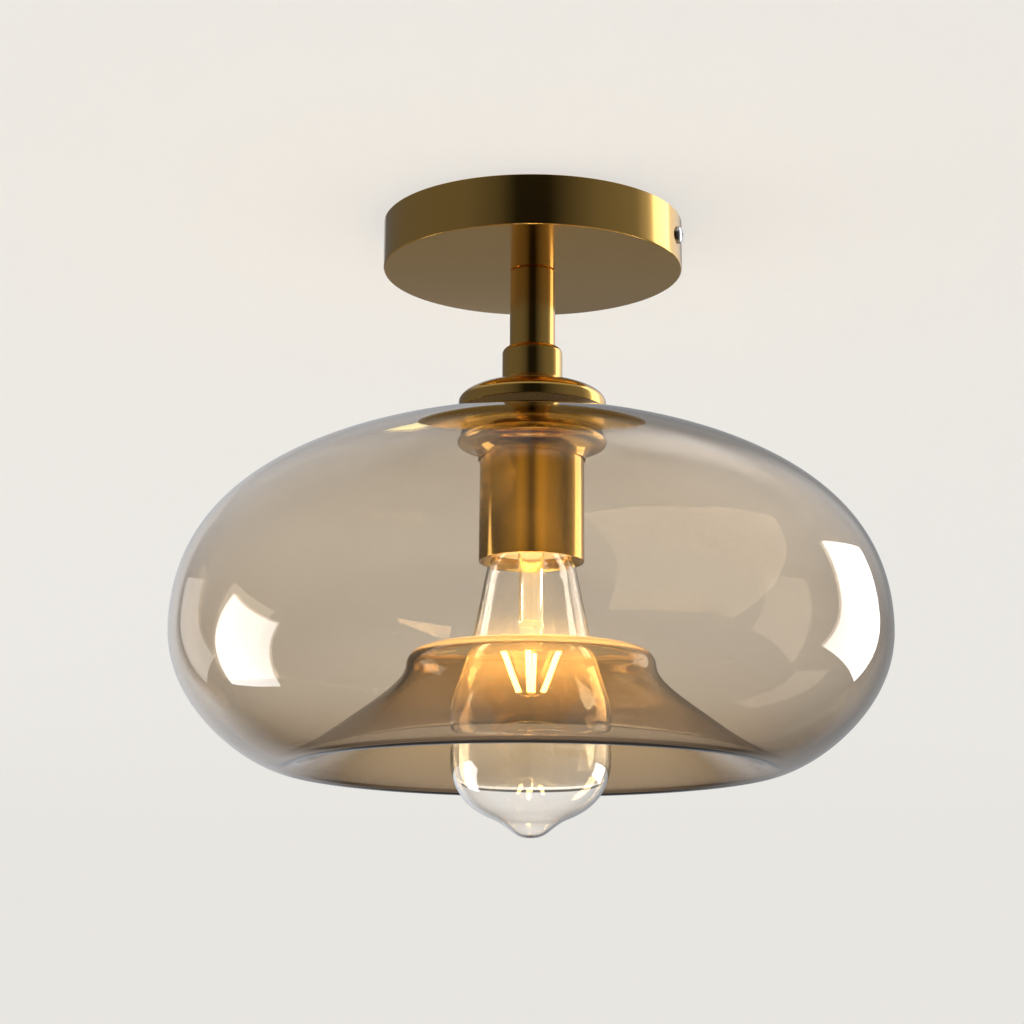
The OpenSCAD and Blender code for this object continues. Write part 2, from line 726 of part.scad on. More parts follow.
// Clear glass envelope of the bulb
module bulb_envelope() {
    n = normals(bulb_side);
    inner = [for (i = [len(bulb_side) - 1 : -1 : 1]) bulb_side[i] + bulb_t * n[i]];
    color("#e9e6dc", 0.3) rotate_extrude() polygon(concat(
        bulb_side, inner, [[0, bulb_side[0][1] + 1.6 * bulb_t]]));
}

// Glass mount inside the bulb: flare on the end of the neck, tube and pinch
module bulb_stem() {
    tube_r = 4.4;
    tube_low = -164;
    rim = [bulb_side[len(bulb_side) - 1][0] - stem_t / 2, neck_glass_z + stem_t / 2];
    line = [rim, rim - [1.4, 0], [8.2, neck_glass_z - 1.4], [tube_r + 1, neck_glass_z - 7],
            [tube_r, neck_glass_z - 14], [tube_r, tube_low]];
    t = [for (p = line) stem_t];
    color("#efe9dc", 0.4) union() {
        rotate_extrude() polygon(wall_outline(line, t));
        translate([0, 0, tube_low - 2]) cylinder(r = tube_r + 0.5, h = 3);
        translate([-4.2, -1.8, pinch_z]) cube([8.4, 3.6, 8]);
    }
}

// Light-emitting filaments, leaning inwards towards the tip
function filament_point(p, k) =
    let (a = filament_turn + 360 * k / filament_count) [p[0] * cos(a), p[0] * sin(a), p[1]];
module filaments() {
    color("#ffd27a") for (k = [0 : filament_count - 1])
        rod_between(filament_point(filament_top, k), filament_point(filament_low, k), filament_r);
}

// Wires that carry the filaments
module support_wires() {
    clear = [0, 0, filament_r + support_r];
    hub_top = [0, 0, pinch_z - 1.5];
    hub_low = [0, 0, filament_low[1] - 3];
    color(zinc) union() {
        translate(hub_low) cylinder(r = hub_r, h = pinch_z - hub_low[2], $fn = 24);
        for (k = [0 : filament_count - 1]) {
            rod_between(hub_top, filament_point(filament_top, k) + clear, support_r);
            rod_between(hub_low, filament_point(filament_low, k) - clear, support_r);
        }
    }
}

// Small driver board that stands on the flare inside the bulb's cap
module bulb_driver() {
    board_t = 1.2;
    board_w = 20.4;
    capacitor_r = 3.1;
    color("#2f6b3f") {
        translate([-board_w / 2, -board_t / 2, neck_glass_z + stem_t]) cube([board_w, board_t, 14.5]);
        translate([0, board_t / 2 + gap + capacitor_r, -123]) cylinder(r = capacitor_r, h = 9);
        translate([-5, -3.6, -120]) cube([7, 2.9, 6]);
    }
}

mounting_bracket();
canopy();
canopy_screws();
terminal_block();
terminal_screws();
block_screws();
earth_tag();
lock_washer();
rod_nuts();
threaded_rod();
stem_tube();
stem_collar();
collar_washer();
shade_cap();
upper_gasket();
sleeve_dome();
lampholder_sleeve();
lampholder_bracket();
lampholder_screws();
lampholder_body();
screw_shell();
contact_spring();
wire_terminals();
live_wire();
neutral_wire();
earth_wire();
glass_shade();
lower_gasket();
retaining_ring();
bulb_contact();
bulb_cap();
bulb_insulator();
bulb_envelope();
bulb_stem();
filaments();
support_wires();
bulb_driver();
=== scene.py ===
"""Finished pieces, materials, studio and camera for a semi-flush ceiling light of brass and smoked glass.

Lengths in the outlines are millimetres; the mesh is metres. The origin is on the ceiling, on the lamp's axis.
"""

import math

import bpy
from mathutils import Matrix, Vector


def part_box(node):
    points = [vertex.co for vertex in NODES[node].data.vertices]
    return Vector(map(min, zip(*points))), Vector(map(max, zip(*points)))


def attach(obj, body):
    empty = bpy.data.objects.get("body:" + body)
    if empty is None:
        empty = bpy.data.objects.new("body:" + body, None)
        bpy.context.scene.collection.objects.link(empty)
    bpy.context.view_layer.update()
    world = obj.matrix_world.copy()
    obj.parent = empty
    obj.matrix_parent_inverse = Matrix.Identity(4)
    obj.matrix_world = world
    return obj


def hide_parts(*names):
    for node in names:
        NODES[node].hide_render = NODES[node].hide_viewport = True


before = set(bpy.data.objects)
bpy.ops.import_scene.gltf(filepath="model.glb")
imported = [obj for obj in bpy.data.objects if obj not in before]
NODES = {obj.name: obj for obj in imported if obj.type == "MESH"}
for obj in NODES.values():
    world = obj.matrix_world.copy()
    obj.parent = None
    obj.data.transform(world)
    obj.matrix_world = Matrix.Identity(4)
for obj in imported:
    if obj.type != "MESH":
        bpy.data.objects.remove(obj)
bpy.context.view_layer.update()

bl_info = {
    "name": "Glass Ceiling Light",
    "version": (1, 0, 0),
    "blender": (4, 5, 0),
    "location": "3D View > Sidebar > Ceiling Light",
    "description": "Builds the finished pieces, materials and studio of a brass and glass ceiling light",
    "category": "Object",
}

MM = 0.001
MERGE = 0.001 * MM

# Measures in millimetres that several pieces share: the hole for the rod, and the heights of the cap
ROD_HOLE = 5.2
CAP_TOP, CAP_UNDER, CAP_RIM = -66.6, -67.8, -77.6

# The bell's upright wall under its rim, as (radius, height), and the radius of the rim's inward turn
BELL_UPRIGHT = (47.1, -182.3)
LIP_RADIUS = 6.1

# The first filament's and the camera's turn round the lamp, in degrees
FILAMENT_TURN = 10
CAMERA_TURN = 16

BLACK = (0, 0, 0, 1)


# Colours and values

def linear(code):
    """Turns an sRGB hex colour into linear red, green, blue and alpha."""
    parts = [int(code[i:i + 2], 16) / 255 for i in (1, 3, 5)]
    return tuple(v / 12.92 if v <= 0.04045 else ((v + 0.055) / 1.055) ** 2.4 for v in parts) + (1.0,)


def cad_size(node, axis):
    """Size of a CAD node's box along one axis, in metres."""
    low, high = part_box(node)
    return high[axis] - low[axis]


class CeilingLightSizes(bpy.types.PropertyGroup):
    """Sizes of the lamp that a user would change."""

    canopy_diameter: bpy.props.FloatProperty(
        name="Canopy Diameter", description="Diameter of the spun canopy at the ceiling",
        default=cad_size("canopy", 0), unit="LENGTH")
    canopy_height: bpy.props.FloatProperty(
        name="Canopy Height", description="Height of the canopy's wall",
        default=cad_size("canopy", 2), unit="LENGTH")
    stem_diameter: bpy.props.FloatProperty(
        name="Stem Diameter", description="Outer diameter of the stem tube",
        default=cad_size("stem_tube", 0), unit="LENGTH")
    sleeve_diameter: bpy.props.FloatProperty(
        name="Sleeve Diameter", description="Outer diameter of the plain part of the lampholder sleeve",
        default=0.0415, unit="LENGTH")
    ring_diameter: bpy.props.FloatProperty(
        name="Ring Diameter", description="Diameter of the flared retaining ring",
        default=cad_size("retaining_ring", 0), unit="LENGTH")
    shade_diameter: bpy.props.FloatProperty(
        name="Shade Diameter", description="Diameter of the glass at its widest, at the middle of the wall",
        default=0.278, unit="LENGTH")
    glass_thickness: bpy.props.FloatProperty(
        name="Glass Thickness", description="Thickness of the blown wall away from the fold",
        default=0.0028, unit="LENGTH")
    fold_thickness: bpy.props.FloatProperty(
        name="Fold Thickness", description="Thickness of the blown wall at its lowest circle",
        default=0.0039, unit="LENGTH")
    bulb_diameter: bpy.props.FloatProperty(
        name="Bulb Diameter", description="Largest diameter of the bulb",
        default=0.0622, unit="LENGTH")


class CeilingLightColours(bpy.types.PropertyGroup):
    """Colours of the lamp that a user would change."""

    brass: bpy.props.FloatVectorProperty(
        name="Brass", description="Colour of the satin brass", subtype="COLOR", size=4,
        min=0, max=1, default=linear("#ecbc5f"))
    smoke: bpy.props.FloatVectorProperty(
        name="Smoke", description="Tint of the light that the shade's glass lets through", subtype="COLOR",
        size=4, min=0, max=1, default=linear("#b69233"))
    smoke_density: bpy.props.FloatProperty(
        name="Smoke Density", description="How strongly the shade's glass absorbs, per metre",
        default=150.0, min=0.0)
    glow: bpy.props.FloatVectorProperty(
        name="Glow", description="Colour of the lit filaments", subtype="COLOR", size=4,
        min=0, max=1, default=linear("#ffd68c"))
    backdrop: bpy.props.FloatVectorProperty(
        name="Backdrop", description="Colour of the ceiling and the studio backdrop", subtype="COLOR",
        size=4, min=0, max=1, default=linear("#ebe8e2"))


# Outlines, as (radius, height) in millimetres

def oval(centre, across, up, start, end, steps):
    """Points of part of an ellipse."""
    return [(centre[0] + across * math.cos(a), centre[1] + up * math.sin(a))
            for a in (math.radians(start + (end - start) * i / steps) for i in range(steps + 1))]


def arc(centre, radius, start, end, steps):
    """Points of an arc."""
    return oval(centre, radius, radius, start, end, steps)


def chamfered(inner, outer, low, top, edge=0.1):
    """Closed outline of a square ring with broken edges."""
    return [(inner + edge, low), (outer - edge, low), (outer, low + edge), (outer, top - edge),
            (outer - edge, top), (inner + edge, top), (inner, top - edge), (inner, low + edge)]


def curve(a, b, c, d, steps):
    """Points of a cubic curve from a to d with handles b and c."""
    def at(s):
        q = 1 - s
        return tuple(q ** 3 * a[k] + 3 * q * q * s * b[k] + 3 * q * s * s * c[k] + s ** 3 * d[k] for k in (0, 1))
    return [at(i / steps) for i in range(steps + 1)]


def normals(line):
    """Unit normals along an open line."""
    result = []
    for i in range(len(line)):
        a, b = line[max(i - 1, 0)], line[min(i + 1, len(line) - 1)]
        d = (b[0] - a[0], b[1] - a[1])
        size = math.hypot(*d)
        result.append((-d[1] / size, d[0] / size))
    return result


def wall_outline(line, thickness, steps=8):
    """Closed outline of a wall with rounded edges, drawn along its middle."""
    n = normals(line)
    half = [t / 2 for t in thickness]

    def side(sign):
        return [(p[0] + sign * h * m[0], p[1] + sign * h * m[1]) for p, m, h in zip(line, n, half)]

    def end(centre, m, r):
        return [(centre[0] + r * (m[0] * math.cos(a) + m[1] * math.sin(a)),
                 centre[1] + r * (m[1] * math.cos(a) - m[0] * math.sin(a)))
                for a in (math.pi * i / steps for i in range(1, steps))]

    first = (-n[0][0], -n[0][1])
    return side(1) + end(line[-1], n[-1], half[-1]) + side(-1)[::-1] + end(line[0], first, half[0])


# Modelling steps that several pieces share

def start(name, adder, **settings):
    """Deselects everything, adds a primitive and names it."""
    bpy.ops.object.select_all(action="DESELECT")
    adder(**settings)
    piece = bpy.context.object
    piece.name = piece.data.name = name
    return piece


def only(piece):
    """Selects one piece alone and makes it active."""
    bpy.ops.object.select_all(action="DESELECT")
    piece.select_set(True)
    bpy.context.view_layer.objects.active = piece


def placed(piece):
    """Writes the object's place, turn and size into its mesh."""
    only(piece)
    bpy.ops.object.transform_apply(location=True, rotation=True, scale=True)
    return piece


def applied(piece, kind, **settings):
    """Adds a modifier with its settings and applies it."""
    modifier = piece.modifiers.new(kind.title(), kind)
    for name, value in settings.items():
        setattr(modifier, name, value)
    only(piece)
    bpy.ops.object.modifier_apply(modifier=modifier.name)


def edited(*steps):
    """Runs edit-mode steps, each an operator with its settings, on the whole active mesh."""
    bpy.ops.object.mode_set(mode="EDIT")
    bpy.ops.mesh.select_all(action="SELECT")
    for operator, settings in steps:
        operator(**settings)
    bpy.ops.object.mode_set(mode="OBJECT")


def tidied(piece, sharp=30.0):
    """Merges doubles, turns the faces outwards and smooths all but edges sharper than an angle in degrees."""
    only(piece)
    edited((bpy.ops.mesh.remove_doubles, {"threshold": MERGE}),
           (bpy.ops.mesh.normals_make_consistent, {"inside": False}))
    bpy.ops.object.shade_smooth_by_angle(angle=math.radians(sharp))
    return piece


def drawn(name, outline):
    """Draws an outline as edges, extruded point after point from a plane merged to one vertex."""
    x, z = outline[0]
    piece = placed(start(name, bpy.ops.mesh.primitive_plane_add, size=MM, location=(x * MM, 0, z * MM)))
    moves = [((b[0] - a[0]) * MM, 0, (b[1] - a[1]) * MM) for a, b in zip(outline, outline[1:])]
    edited((bpy.ops.mesh.merge, {"type": "CENTER"}),
           *((bpy.ops.mesh.extrude_region_move, {"TRANSFORM_OT_translate": {"value": move}}) for move in moves))
    return piece


def turned(name, outline, steps=160, sharp=30.0):
    """Turns a closed outline about the lamp's axis, as on a lathe or a spinning chuck."""
    piece = drawn(name, outline + outline[:1])
    edited((bpy.ops.mesh.spin, {"steps": steps, "angle": 2 * math.pi, "center": (0, 0, 0), "axis": (0, 0, 1)}))
    return tidied(piece, sharp)


def copied(piece, turn):
    """Copies a piece with its own mesh, turned about the lamp's axis by an angle in degrees."""
    twin = piece.copy()
    twin.data = piece.data.copy()
    bpy.context.collection.objects.link(twin)
    twin.rotation_euler = (0, 0, math.radians(turn))
    return placed(twin)


def joined(pieces):
    """Joins pieces into the first."""
    only(pieces[0])
    for piece in pieces:
        piece.select_set(True)
    bpy.ops.object.join()
    return pieces[0]


def cut(piece, cutter):
    """Cuts one piece with another and removes the cutter."""
    applied(piece, "BOOLEAN", operation="DIFFERENCE", object=cutter, solver="EXACT")
    bpy.data.objects.remove(cutter)


def thread(name, root, crest, pitch, top, low, steps=64):
    """Winds a ridge with a rounded crest from one height down to another, in millimetres."""
    flank = pitch * 0.46
    crests = [(root + (crest - root) * math.sin(a), top - flank - flank * math.cos(a))
              for a in (math.radians(180 * i / 8) for i in range(7, 0, -1))]
    piece = drawn(name, [(root, top)] + crests + [(root, top - 2 * flank), (root, top)])
    turns = (top - low - 2 * flank) / pitch
    applied(piece, "SCREW", angle=2 * math.pi * turns, screw_offset=-pitch * turns * MM, iterations=1,
            steps=int(steps * turns), render_steps=int(steps * turns), axis="Z", use_merge_vertices=False)
    edited((bpy.ops.mesh.remove_doubles, {"threshold": MERGE}), (bpy.ops.mesh.select_all, {"action": "DESELECT"}),
           (bpy.ops.mesh.select_non_manifold, {}), (bpy.ops.mesh.edge_face_add, {}))
    return tidied(piece)


def swept(name, points, radius, steps=8):
    """Sweeps a round wire along a smooth line through points in millimetres."""
    line = []
    for k in range(len(points) - 1):
        a, b = Vector(points[max(k - 1, 0)]), Vector(points[k])
        c, d = Vector(points[k + 1]), Vector(points[min(k + 2, len(points) - 1)])
        line += [0.5 * (2 * b + (c - a) * s + (2 * a - 5 * b + 4 * c - d) * s * s
                        + (3 * b - 3 * c + d - a) * s ** 3) for s in (i / steps for i in range(steps))]
    line.append(Vector(points[-1]))
    piece = start(name, bpy.ops.curve.primitive_bezier_curve_add)
    piece.data.splines.clear()
    spline = piece.data.splines.new("POLY")
    spline.points.add(len(line) - 1)
    for point, place in zip(spline.points, line):
        point.co = (*(place * MM), 1)
    piece.data.dimensions = "3D"
    piece.data.bevel_depth = radius * MM
    piece.data.bevel_resolution = 4
    piece.data.use_fill_caps = True
    placed(piece)
    bpy.ops.object.convert(target="MESH")
    return tidied(bpy.context.object, 60)


def finished(piece, body, material, slot, *nodes):
    """Gives a piece its material and body, and hides the CAD nodes that it stands for. Its slot is not used."""
    piece.data.materials.clear()
    piece.data.materials.append(material)
    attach(piece, body)
    if nodes:
        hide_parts(*nodes)


def dress(material, *names):
    """Gives CAD nodes a material."""
    for name in names:
        for holder in NODES[name].material_slots:
            holder.material = material


# Materials

def add(tree, kind, inputs=None, **settings):
    """Adds a shader node with its settings, values and links. A node given as a value stands for its first output."""
    node = tree.nodes.new("ShaderNode" + kind)
    for name, value in settings.items():
        setattr(node, name, value)
    for key, value in (inputs or {}).items():
        if isinstance(value, bpy.types.Node):
            value = value.outputs[0]
        if isinstance(value, bpy.types.NodeSocket):
            tree.links.new(value, node.inputs[key])
        else:
            node.inputs[key].default_value = value
    return node


def fresh(name):
    """A new material with only its output node."""
    material = bpy.data.materials.new(name)
    material.use_nodes = True
    tree = material.node_tree
    tree.nodes.clear()
    return material, tree, tree.nodes.new("ShaderNodeOutputMaterial")


def surfaced(material, out, shader, glowing=False):
    """Links a shader to a material's output. A glowing material isn't sampled as a lamp."""
    material.node_tree.links.new(shader.outputs[0], out.inputs[0])
    if glowing:
        material.cycles.emission_sampling = "NONE"
    return material


def from_axis(tree):
    """The object's own coordinates, the same laid flat, the distance from the lamp's axis and the height."""
    place = add(tree, "TexCoord").outputs["Object"]
    parts = add(tree, "SeparateXYZ", {0: place})
    flat = add(tree, "CombineXYZ", {0: parts.outputs[0], 1: parts.outputs[1]})
    radius = add(tree, "VectorMath", {0: flat}, operation="LENGTH").outputs["Value"]
    return place, flat, radius, parts.outputs[2]


def lathe_lines(tree, spacing, along=2.0):
    """Noise that runs round the axis: fine across the turning lines, at a spacing in millimetres, slow along them."""
    _, flat, radius, height = from_axis(tree)
    around = add(tree, "VectorMath", {0: flat}, operation="NORMALIZE")
    slow = add(tree, "VectorMath", {0: around, 1: (along, along, 0)}, operation="MULTIPLY")
    # A face that is neither flat nor upright still gets lines when its radius weighs less than its height
    across = add(tree, "Math", {0: radius, 1: 0.83, 2: height}, operation="MULTIPLY_ADD")
    fine = add(tree, "Math", {0: across, 1: 1 / (spacing * MM)}, operation="MULTIPLY")
    spot = add(tree, "VectorMath", {0: slow, 1: add(tree, "CombineXYZ", {2: fine})}, operation="ADD")
    return add(tree, "TexNoise", {"Vector": spot, "Scale": 1.0, "Detail": 3.0, "Roughness": 0.6})


def ranged(tree, value, low, high, start_at=0.3, end_at=0.7):
    """Maps a pattern to a range of values."""
    return add(tree, "MapRange", {0: value, 1: start_at, 2: end_at, 3: low, 4: high})


def graded(tree, value, low, high, stops):
    """Maps a value through grey levels given as (value, level)."""
    ramp = add(tree, "ValToRGB", {0: add(tree, "MapRange", {0: value, 1: low, 2: high})})
    elements = ramp.color_ramp.elements
    for at, level in stops[1:-1]:
        elements.new((at - low) / (high - low)).color = (level, level, level, 1)
    for element, (at, level) in ((elements[0], stops[0]), (elements[-1], stops[-1])):
        element.position = (at - low) / (high - low)
        element.color = (level, level, level, 1)
    return ramp


def satin_brass(colour):
    """Spun and turned brass, brushed on the lathe and lacquered.

    The brush lines run round the axis, so highlights stay narrow round the piece and stretch along it.
    Real lines are about 0.1 mm apart; they are drawn 0.5 mm apart so that they show.
    """
    material, tree, out = fresh("Satin lacquered brass")
    lines = lathe_lines(tree, 0.5)
    place = add(tree, "TexCoord").outputs["Object"]
    clouds = add(tree, "TexNoise", {"Vector": place, "Scale": 1 / (22 * MM), "Detail": 2.0})
    tone = add(tree, "Mix", {0: ranged(tree, clouds, 0.0, 0.35), 6: colour, 7: linear("#e2b25c")},
               data_type="RGBA").outputs[2]
    rough = add(tree, "Math", {0: ranged(tree, lines, 0.13, 0.17), 1: ranged(tree, clouds, -0.01, 0.01)},
                operation="ADD")
    shader = add(tree, "BsdfPrincipled", {
        "Base Color": tone, "Metallic": 1.0, "Roughness": rough,
        "Normal": add(tree, "Bump", {"Height": lines, "Strength": 0.012, "Distance": 0.05 * MM}),
        "Anisotropic": 0.5, "Anisotropic Rotation": 0.25,
        "Tangent": add(tree, "Tangent", direction_type="RADIAL", axis="Z"),
        "Coat Weight": 0.6, "Coat Roughness": 0.08})
    return surfaced(material, out, shader)


def mottled(name, tones, noises, rough, relief=None, span=(0.3, 0.7), lines=None, **look):
    """A material of one tone, or of two that its first noise mixes, with a relief from its last noise or from lines.

    Noises are given as (size in millimetres, detail) and the relief as (strength, depth in millimetres).
    Roughness is one value, or a range that the last noise runs through.
    """
    material, tree, out = fresh(name)
    place = add(tree, "TexCoord").outputs["Object"]
    patterns = [add(tree, "TexNoise", {"Vector": place, "Scale": 1 / (size * MM), "Detail": detail})
                for size, detail in noises]
    look["Base Color"] = linear(tones[0])
    if len(tones) > 1:
        look["Base Color"] = add(tree, "Mix", {0: ranged(tree, patterns[0], 0.0, 1.0, *span), 6: linear(tones[0]),
                                               7: linear(tones[1])}, data_type="RGBA").outputs[2]
    look["Roughness"] = ranged(tree, patterns[-1], *rough) if isinstance(rough, tuple) else rough
    if relief:
        height = lines(tree) if lines else patterns[-1]
        look["Normal"] = add(tree, "Bump", {"Height": height, "Strength": relief[0], "Distance": relief[1] * MM})
    return surfaced(material, out, add(tree, "BsdfPrincipled", look))


def raw_brass():
    """Turned or stamped brass without lacquer, for nuts, tags and contacts: duller, with tool marks and tarnish."""
    return mottled("Raw turned brass", ("#d9b56a", "#a88343"), [(4, 4.0)], (0.25, 0.42), (0.12, 0.05),
                   lines=lambda tree: lathe_lines(tree, 0.25), Metallic=1.0)


def zinc_plate():
    """Bright zinc-plated steel: bluish grey, with the faint bloom of the bath and fine rolling lines."""
    material, tree, out = fresh("Zinc plated steel")
    place = add(tree, "TexCoord").outputs["Object"]
    bloom = add(tree, "TexNoise", {"Vector": place, "Scale": 1 / (6 * MM), "Detail": 3.0})
    rolled = add(tree, "Mapping", {"Vector": place, "Scale": (1 / (9 * MM), 1 / (0.3 * MM), 1 / (0.3 * MM))})
    lines = add(tree, "TexNoise", {"Vector": rolled, "Scale": 1.0, "Detail": 2.0})
    tone = add(tree, "Mix", {0: ranged(tree, bloom, 0.0, 1.0), 6: linear("#c3c8cf"), 7: linear("#a6a59b")},
               data_type="RGBA").outputs[2]
    rough = add(tree, "Math", {0: ranged(tree, bloom, 0.28, 0.42), 1: ranged(tree, lines, -0.04, 0.04)},
                operation="ADD")
    shader = add(tree, "BsdfPrincipled", {
        "Base Color": tone, "Metallic": 1.0, "Roughness": rough,
        "Normal": add(tree, "Bump", {"Height": lines, "Strength": 0.1, "Distance": 0.03 * MM})})
    return surfaced(material, out, shader)


def chrome_plate():
    """Polished and chrome-plated screw heads: nearly a mirror, with faint polishing haze."""
    return mottled("Chrome plate", ["#dadcde"], [(1.2, 3.0)], (0.08, 0.16), Metallic=1.0)


def nickel_plate():
    """Thin rolled sheet with nickel plating, as on a bulb's screw cap: warm grey with faint stains."""
    return mottled("Nickel plated sheet", ("#cfcbc2", "#b2aca0"), [(3, 4.0)], (0.18, 0.32), Metallic=1.0)


def glazed_porcelain():
    """Pressed and glazed porcelain: off-white with specks, under a clear glaze with a faint orange peel."""
    return mottled("Glazed porcelain", ("#eee9dc", "#c9bda2"), [(0.5, 5.0), (1.5, 1.0)], 0.16, (0.2, 0.05),
                   span=(0.62, 0.74), IOR=1.52)


def soft_polymer(name, light, dark, rough, grain):
    """Moulded rubber or extruded cable insulation: two near tones and a fine matt grain, in millimetres."""
    return mottled(name, (light, dark), [(3 * grain, 3.0), (grain, 2.0)], (rough - 0.06, rough + 0.06),
                   (0.2, 0.03), IOR=1.45)


def black_glass():
    """Black glass melted into the end of the bulb's cap: glossy, slightly rippled."""
    return mottled("Black cap glass", ["#16161a"], [(1.6, 2.0)], 0.09, (0.3, 0.1), IOR=1.52)


def circuit_board():
    """Green solder mask over glass-fibre board, with a faint weave."""
    material, tree, out = fresh("Solder masked board")
    place = add(tree, "TexCoord").outputs["Object"]
    weave = add(tree, "TexChecker", {"Vector": place, "Scale": 1 / (0.5 * MM), "Color1": linear("#2b6a3c"),
                                     "Color2": linear("#245c34")})
    shader = add(tree, "BsdfPrincipled", {
        "Base Color": weave, "Roughness": 0.35, "IOR": 1.5,
        "Normal": add(tree, "Bump", {"Height": weave.outputs["Fac"], "Strength": 0.1, "Distance": 0.02 * MM})})
    return surfaced(material, out, shader)


def wavy_glass(tree, place, colour, length, strength, depth):
    """Clear glass with slow waves, whose length and depth are in millimetres."""
    waves = add(tree, "TexNoise", {"Vector": place, "Scale": 1 / (length * MM), "Detail": 1.0})
    return add(tree, "BsdfPrincipled", {
        "Base Color": colour, "Roughness": 0.0, "IOR": 1.5, "Transmission Weight": 1.0,
        "Normal": add(tree, "Bump", {"Height": waves, "Strength": strength, "Distance": depth * MM})})


def hazy(tree, clear, amount, colour):
    """Mixes a trace of haze, which the bulb lights from behind, into clear glass."""
    haze = add(tree, "BsdfTranslucent", {"Color": colour})
    return add(tree, "MixShader", {0: amount, 1: clear, 2: haze})


def smoked_glass(tint, density):
    """Mouth-blown soda-lime glass, coloured smoky amber through its mass.

    The colour comes from absorption, so the wall looks darker edge-on. Blowing leaves waves about 30 mm long.
    The bell was pushed in hot, and its deeper amber is a painted warm glow that stands in for the bulb's light in it;
    it also has a trace of haze.
    Its rim is cut and ground before it is polished with a flame, so it scatters the bulb's light.
    """
    material, tree, out = fresh("Smoked amber blown glass")
    place, _, radius, height = from_axis(tree)
    low = add(tree, "MapRange", {0: height, 1: -150 * MM, 2: -160 * MM})
    inward = add(tree, "MapRange", {0: radius, 1: 98 * MM, 2: 60 * MM})
    bell = add(tree, "Math", {0: low, 1: inward}, operation="MULTIPLY")
    rim_radius = BELL_UPRIGHT[0] - LIP_RADIUS
    edge = add(tree, "MapRange", {0: radius, 1: (rim_radius + 3.4) * MM, 2: (rim_radius + 2.4) * MM, 4: 0.85})
    rim = add(tree, "Math", {0: low, 1: edge}, operation="MULTIPLY")
    haze = add(tree, "Math", {0: bell, 1: 0.004, 2: rim}, operation="MULTIPLY_ADD")
    # Deeper amber in the bell: a painted glow for the bulb's warm light there
    amber = add(tree, "Mix", {0: bell, 6: (1, 1, 1, 1), 7: (0.93, 0.78, 0.52, 1)}, data_type="RGBA").outputs[2]
    clear = wavy_glass(tree, place, amber, 34, 0.25, 0.25)
    tree.links.new(add(tree, "VolumeAbsorption", {"Color": tint, "Density": density}).outputs[0], out.inputs[1])
    return surfaced(material, out, hazy(tree, clear, haze, (1.0, 0.9, 0.75, 1)))


def clear_glass(name, glow=None):
    """Thin drawn bulb glass, water clear but for a trace of haze round the filaments, which takes up their glow."""
    material, tree, out = fresh(name)
    place = add(tree, "TexCoord").outputs["Object"]
    shader = wavy_glass(tree, place, (1, 1, 1, 1), 12, 0.15, 0.1)
    # A glow colour makes the glass emit faintly: a painted glow standing in for the filaments' light carried in the
    # glass.
    if glow:
        shader.inputs["Emission Color"].default_value = glow
        shader.inputs["Emission Strength"].default_value = 0.12
    height = add(tree, "SeparateXYZ", {0: place}).outputs[2]
    haze = graded(tree, height, -245 * MM, -120 * MM, tuple((z * MM, level) for z, level in (
        (-245, 0.0), (-224, 0.0), (-214, 0.004), (-204, 0.055), (-190, 0.1), (-178, 0.07), (-162, 0.02),
        (-145, 0.01), (-120, 0.005))))
    return surfaced(material, out, hazy(tree, shader, haze, (1.0, 0.88, 0.65, 1)))


def phosphor(glow):
    """Chips on a thin strip under a yellow phosphor coat, lit, and brighter over each chip."""
    material, tree, out = fresh("Lit phosphor coat")
    place = add(tree, "TexCoord").outputs["Object"]
    beads = add(tree, "TexNoise", {"Vector": place, "Scale": 1 / (0.9 * MM), "Detail": 1.0})
    shader = add(tree, "BsdfPrincipled", {
        "Base Color": linear("#f2c35a"), "Roughness": 0.5, "Emission Color": glow,
        "Emission Strength": ranged(tree, beads, 95.0, 125.0)})
    return surfaced(material, out, shader, True)


def stock(name, maker, *values):
    """Fetches a material that an earlier operator made, or makes it."""
    return bpy.data.materials.get(name) or maker(*values)


def brass(context):
    """The lamp's satin brass in the user's colour."""
    return stock("Satin lacquered brass", satin_brass, context.scene.ceiling_light_colours.brass)


# Pieces

class BuildCanopy(bpy.types.Operator):
    """Spin the canopy and set its two side screws"""

    bl_idname = "ceiling_light.canopy"
    bl_label = "Canopy"

    def execute(self, context):
        sizes = context.scene.ceiling_light_sizes
        r, h = sizes.canopy_diameter / 2 / MM, sizes.canopy_height / MM
        wall, edge, inner = 1.2, 0.8, 0.4
        outline = ([(ROD_HOLE, -h)] + arc((r - edge, -h + edge), edge, -90, 0, 10)
                   + [(r, -0.15), (r - 0.15, 0), (r - wall, 0)]
                   + arc((r - wall - inner, -h + wall + inner), inner, 0, -90, 5) + [(ROD_HOLE, -h + wall)])
        finished(turned("canopy_pan", outline, 256), "root", brass(context), "brass", "canopy")

        head_r, head_h, shank = 3.5, 1.9, 1.95
        head = ([(0, -9), (shank - 0.4, -9), (shank, -8.6), (shank, 0), (head_r - 0.1, 0), (head_r, 0.12)]
                + oval((0, head_h * 0.35), head_r, head_h * 0.65, 0, 90, 12))
        screw = turned("canopy_screw", head, 64)
        for turn in (0, 90):
            cross = start("recess", bpy.ops.mesh.primitive_cone_add, vertices=4, radius1=0.15 * MM,
                          radius2=2.5 * MM, depth=2.0 * MM, location=(0, 0, 1.25 * MM))
            cross.scale = (1, 0.2, 1)
            cross.rotation_euler = (0, 0, math.radians(turn))
            cut(screw, placed(cross))
        screw.matrix_world = Matrix.Translation((r * MM, 0, -9.4 * MM)) @ Matrix.Rotation(math.pi / 2, 4, "Y")
        placed(screw)
        both = joined([screw, copied(screw, 180)])
        finished(tidied(both), "root", stock("Chrome plate", chrome_plate), "chrome", "canopy_screws")
        return {"FINISHED"}


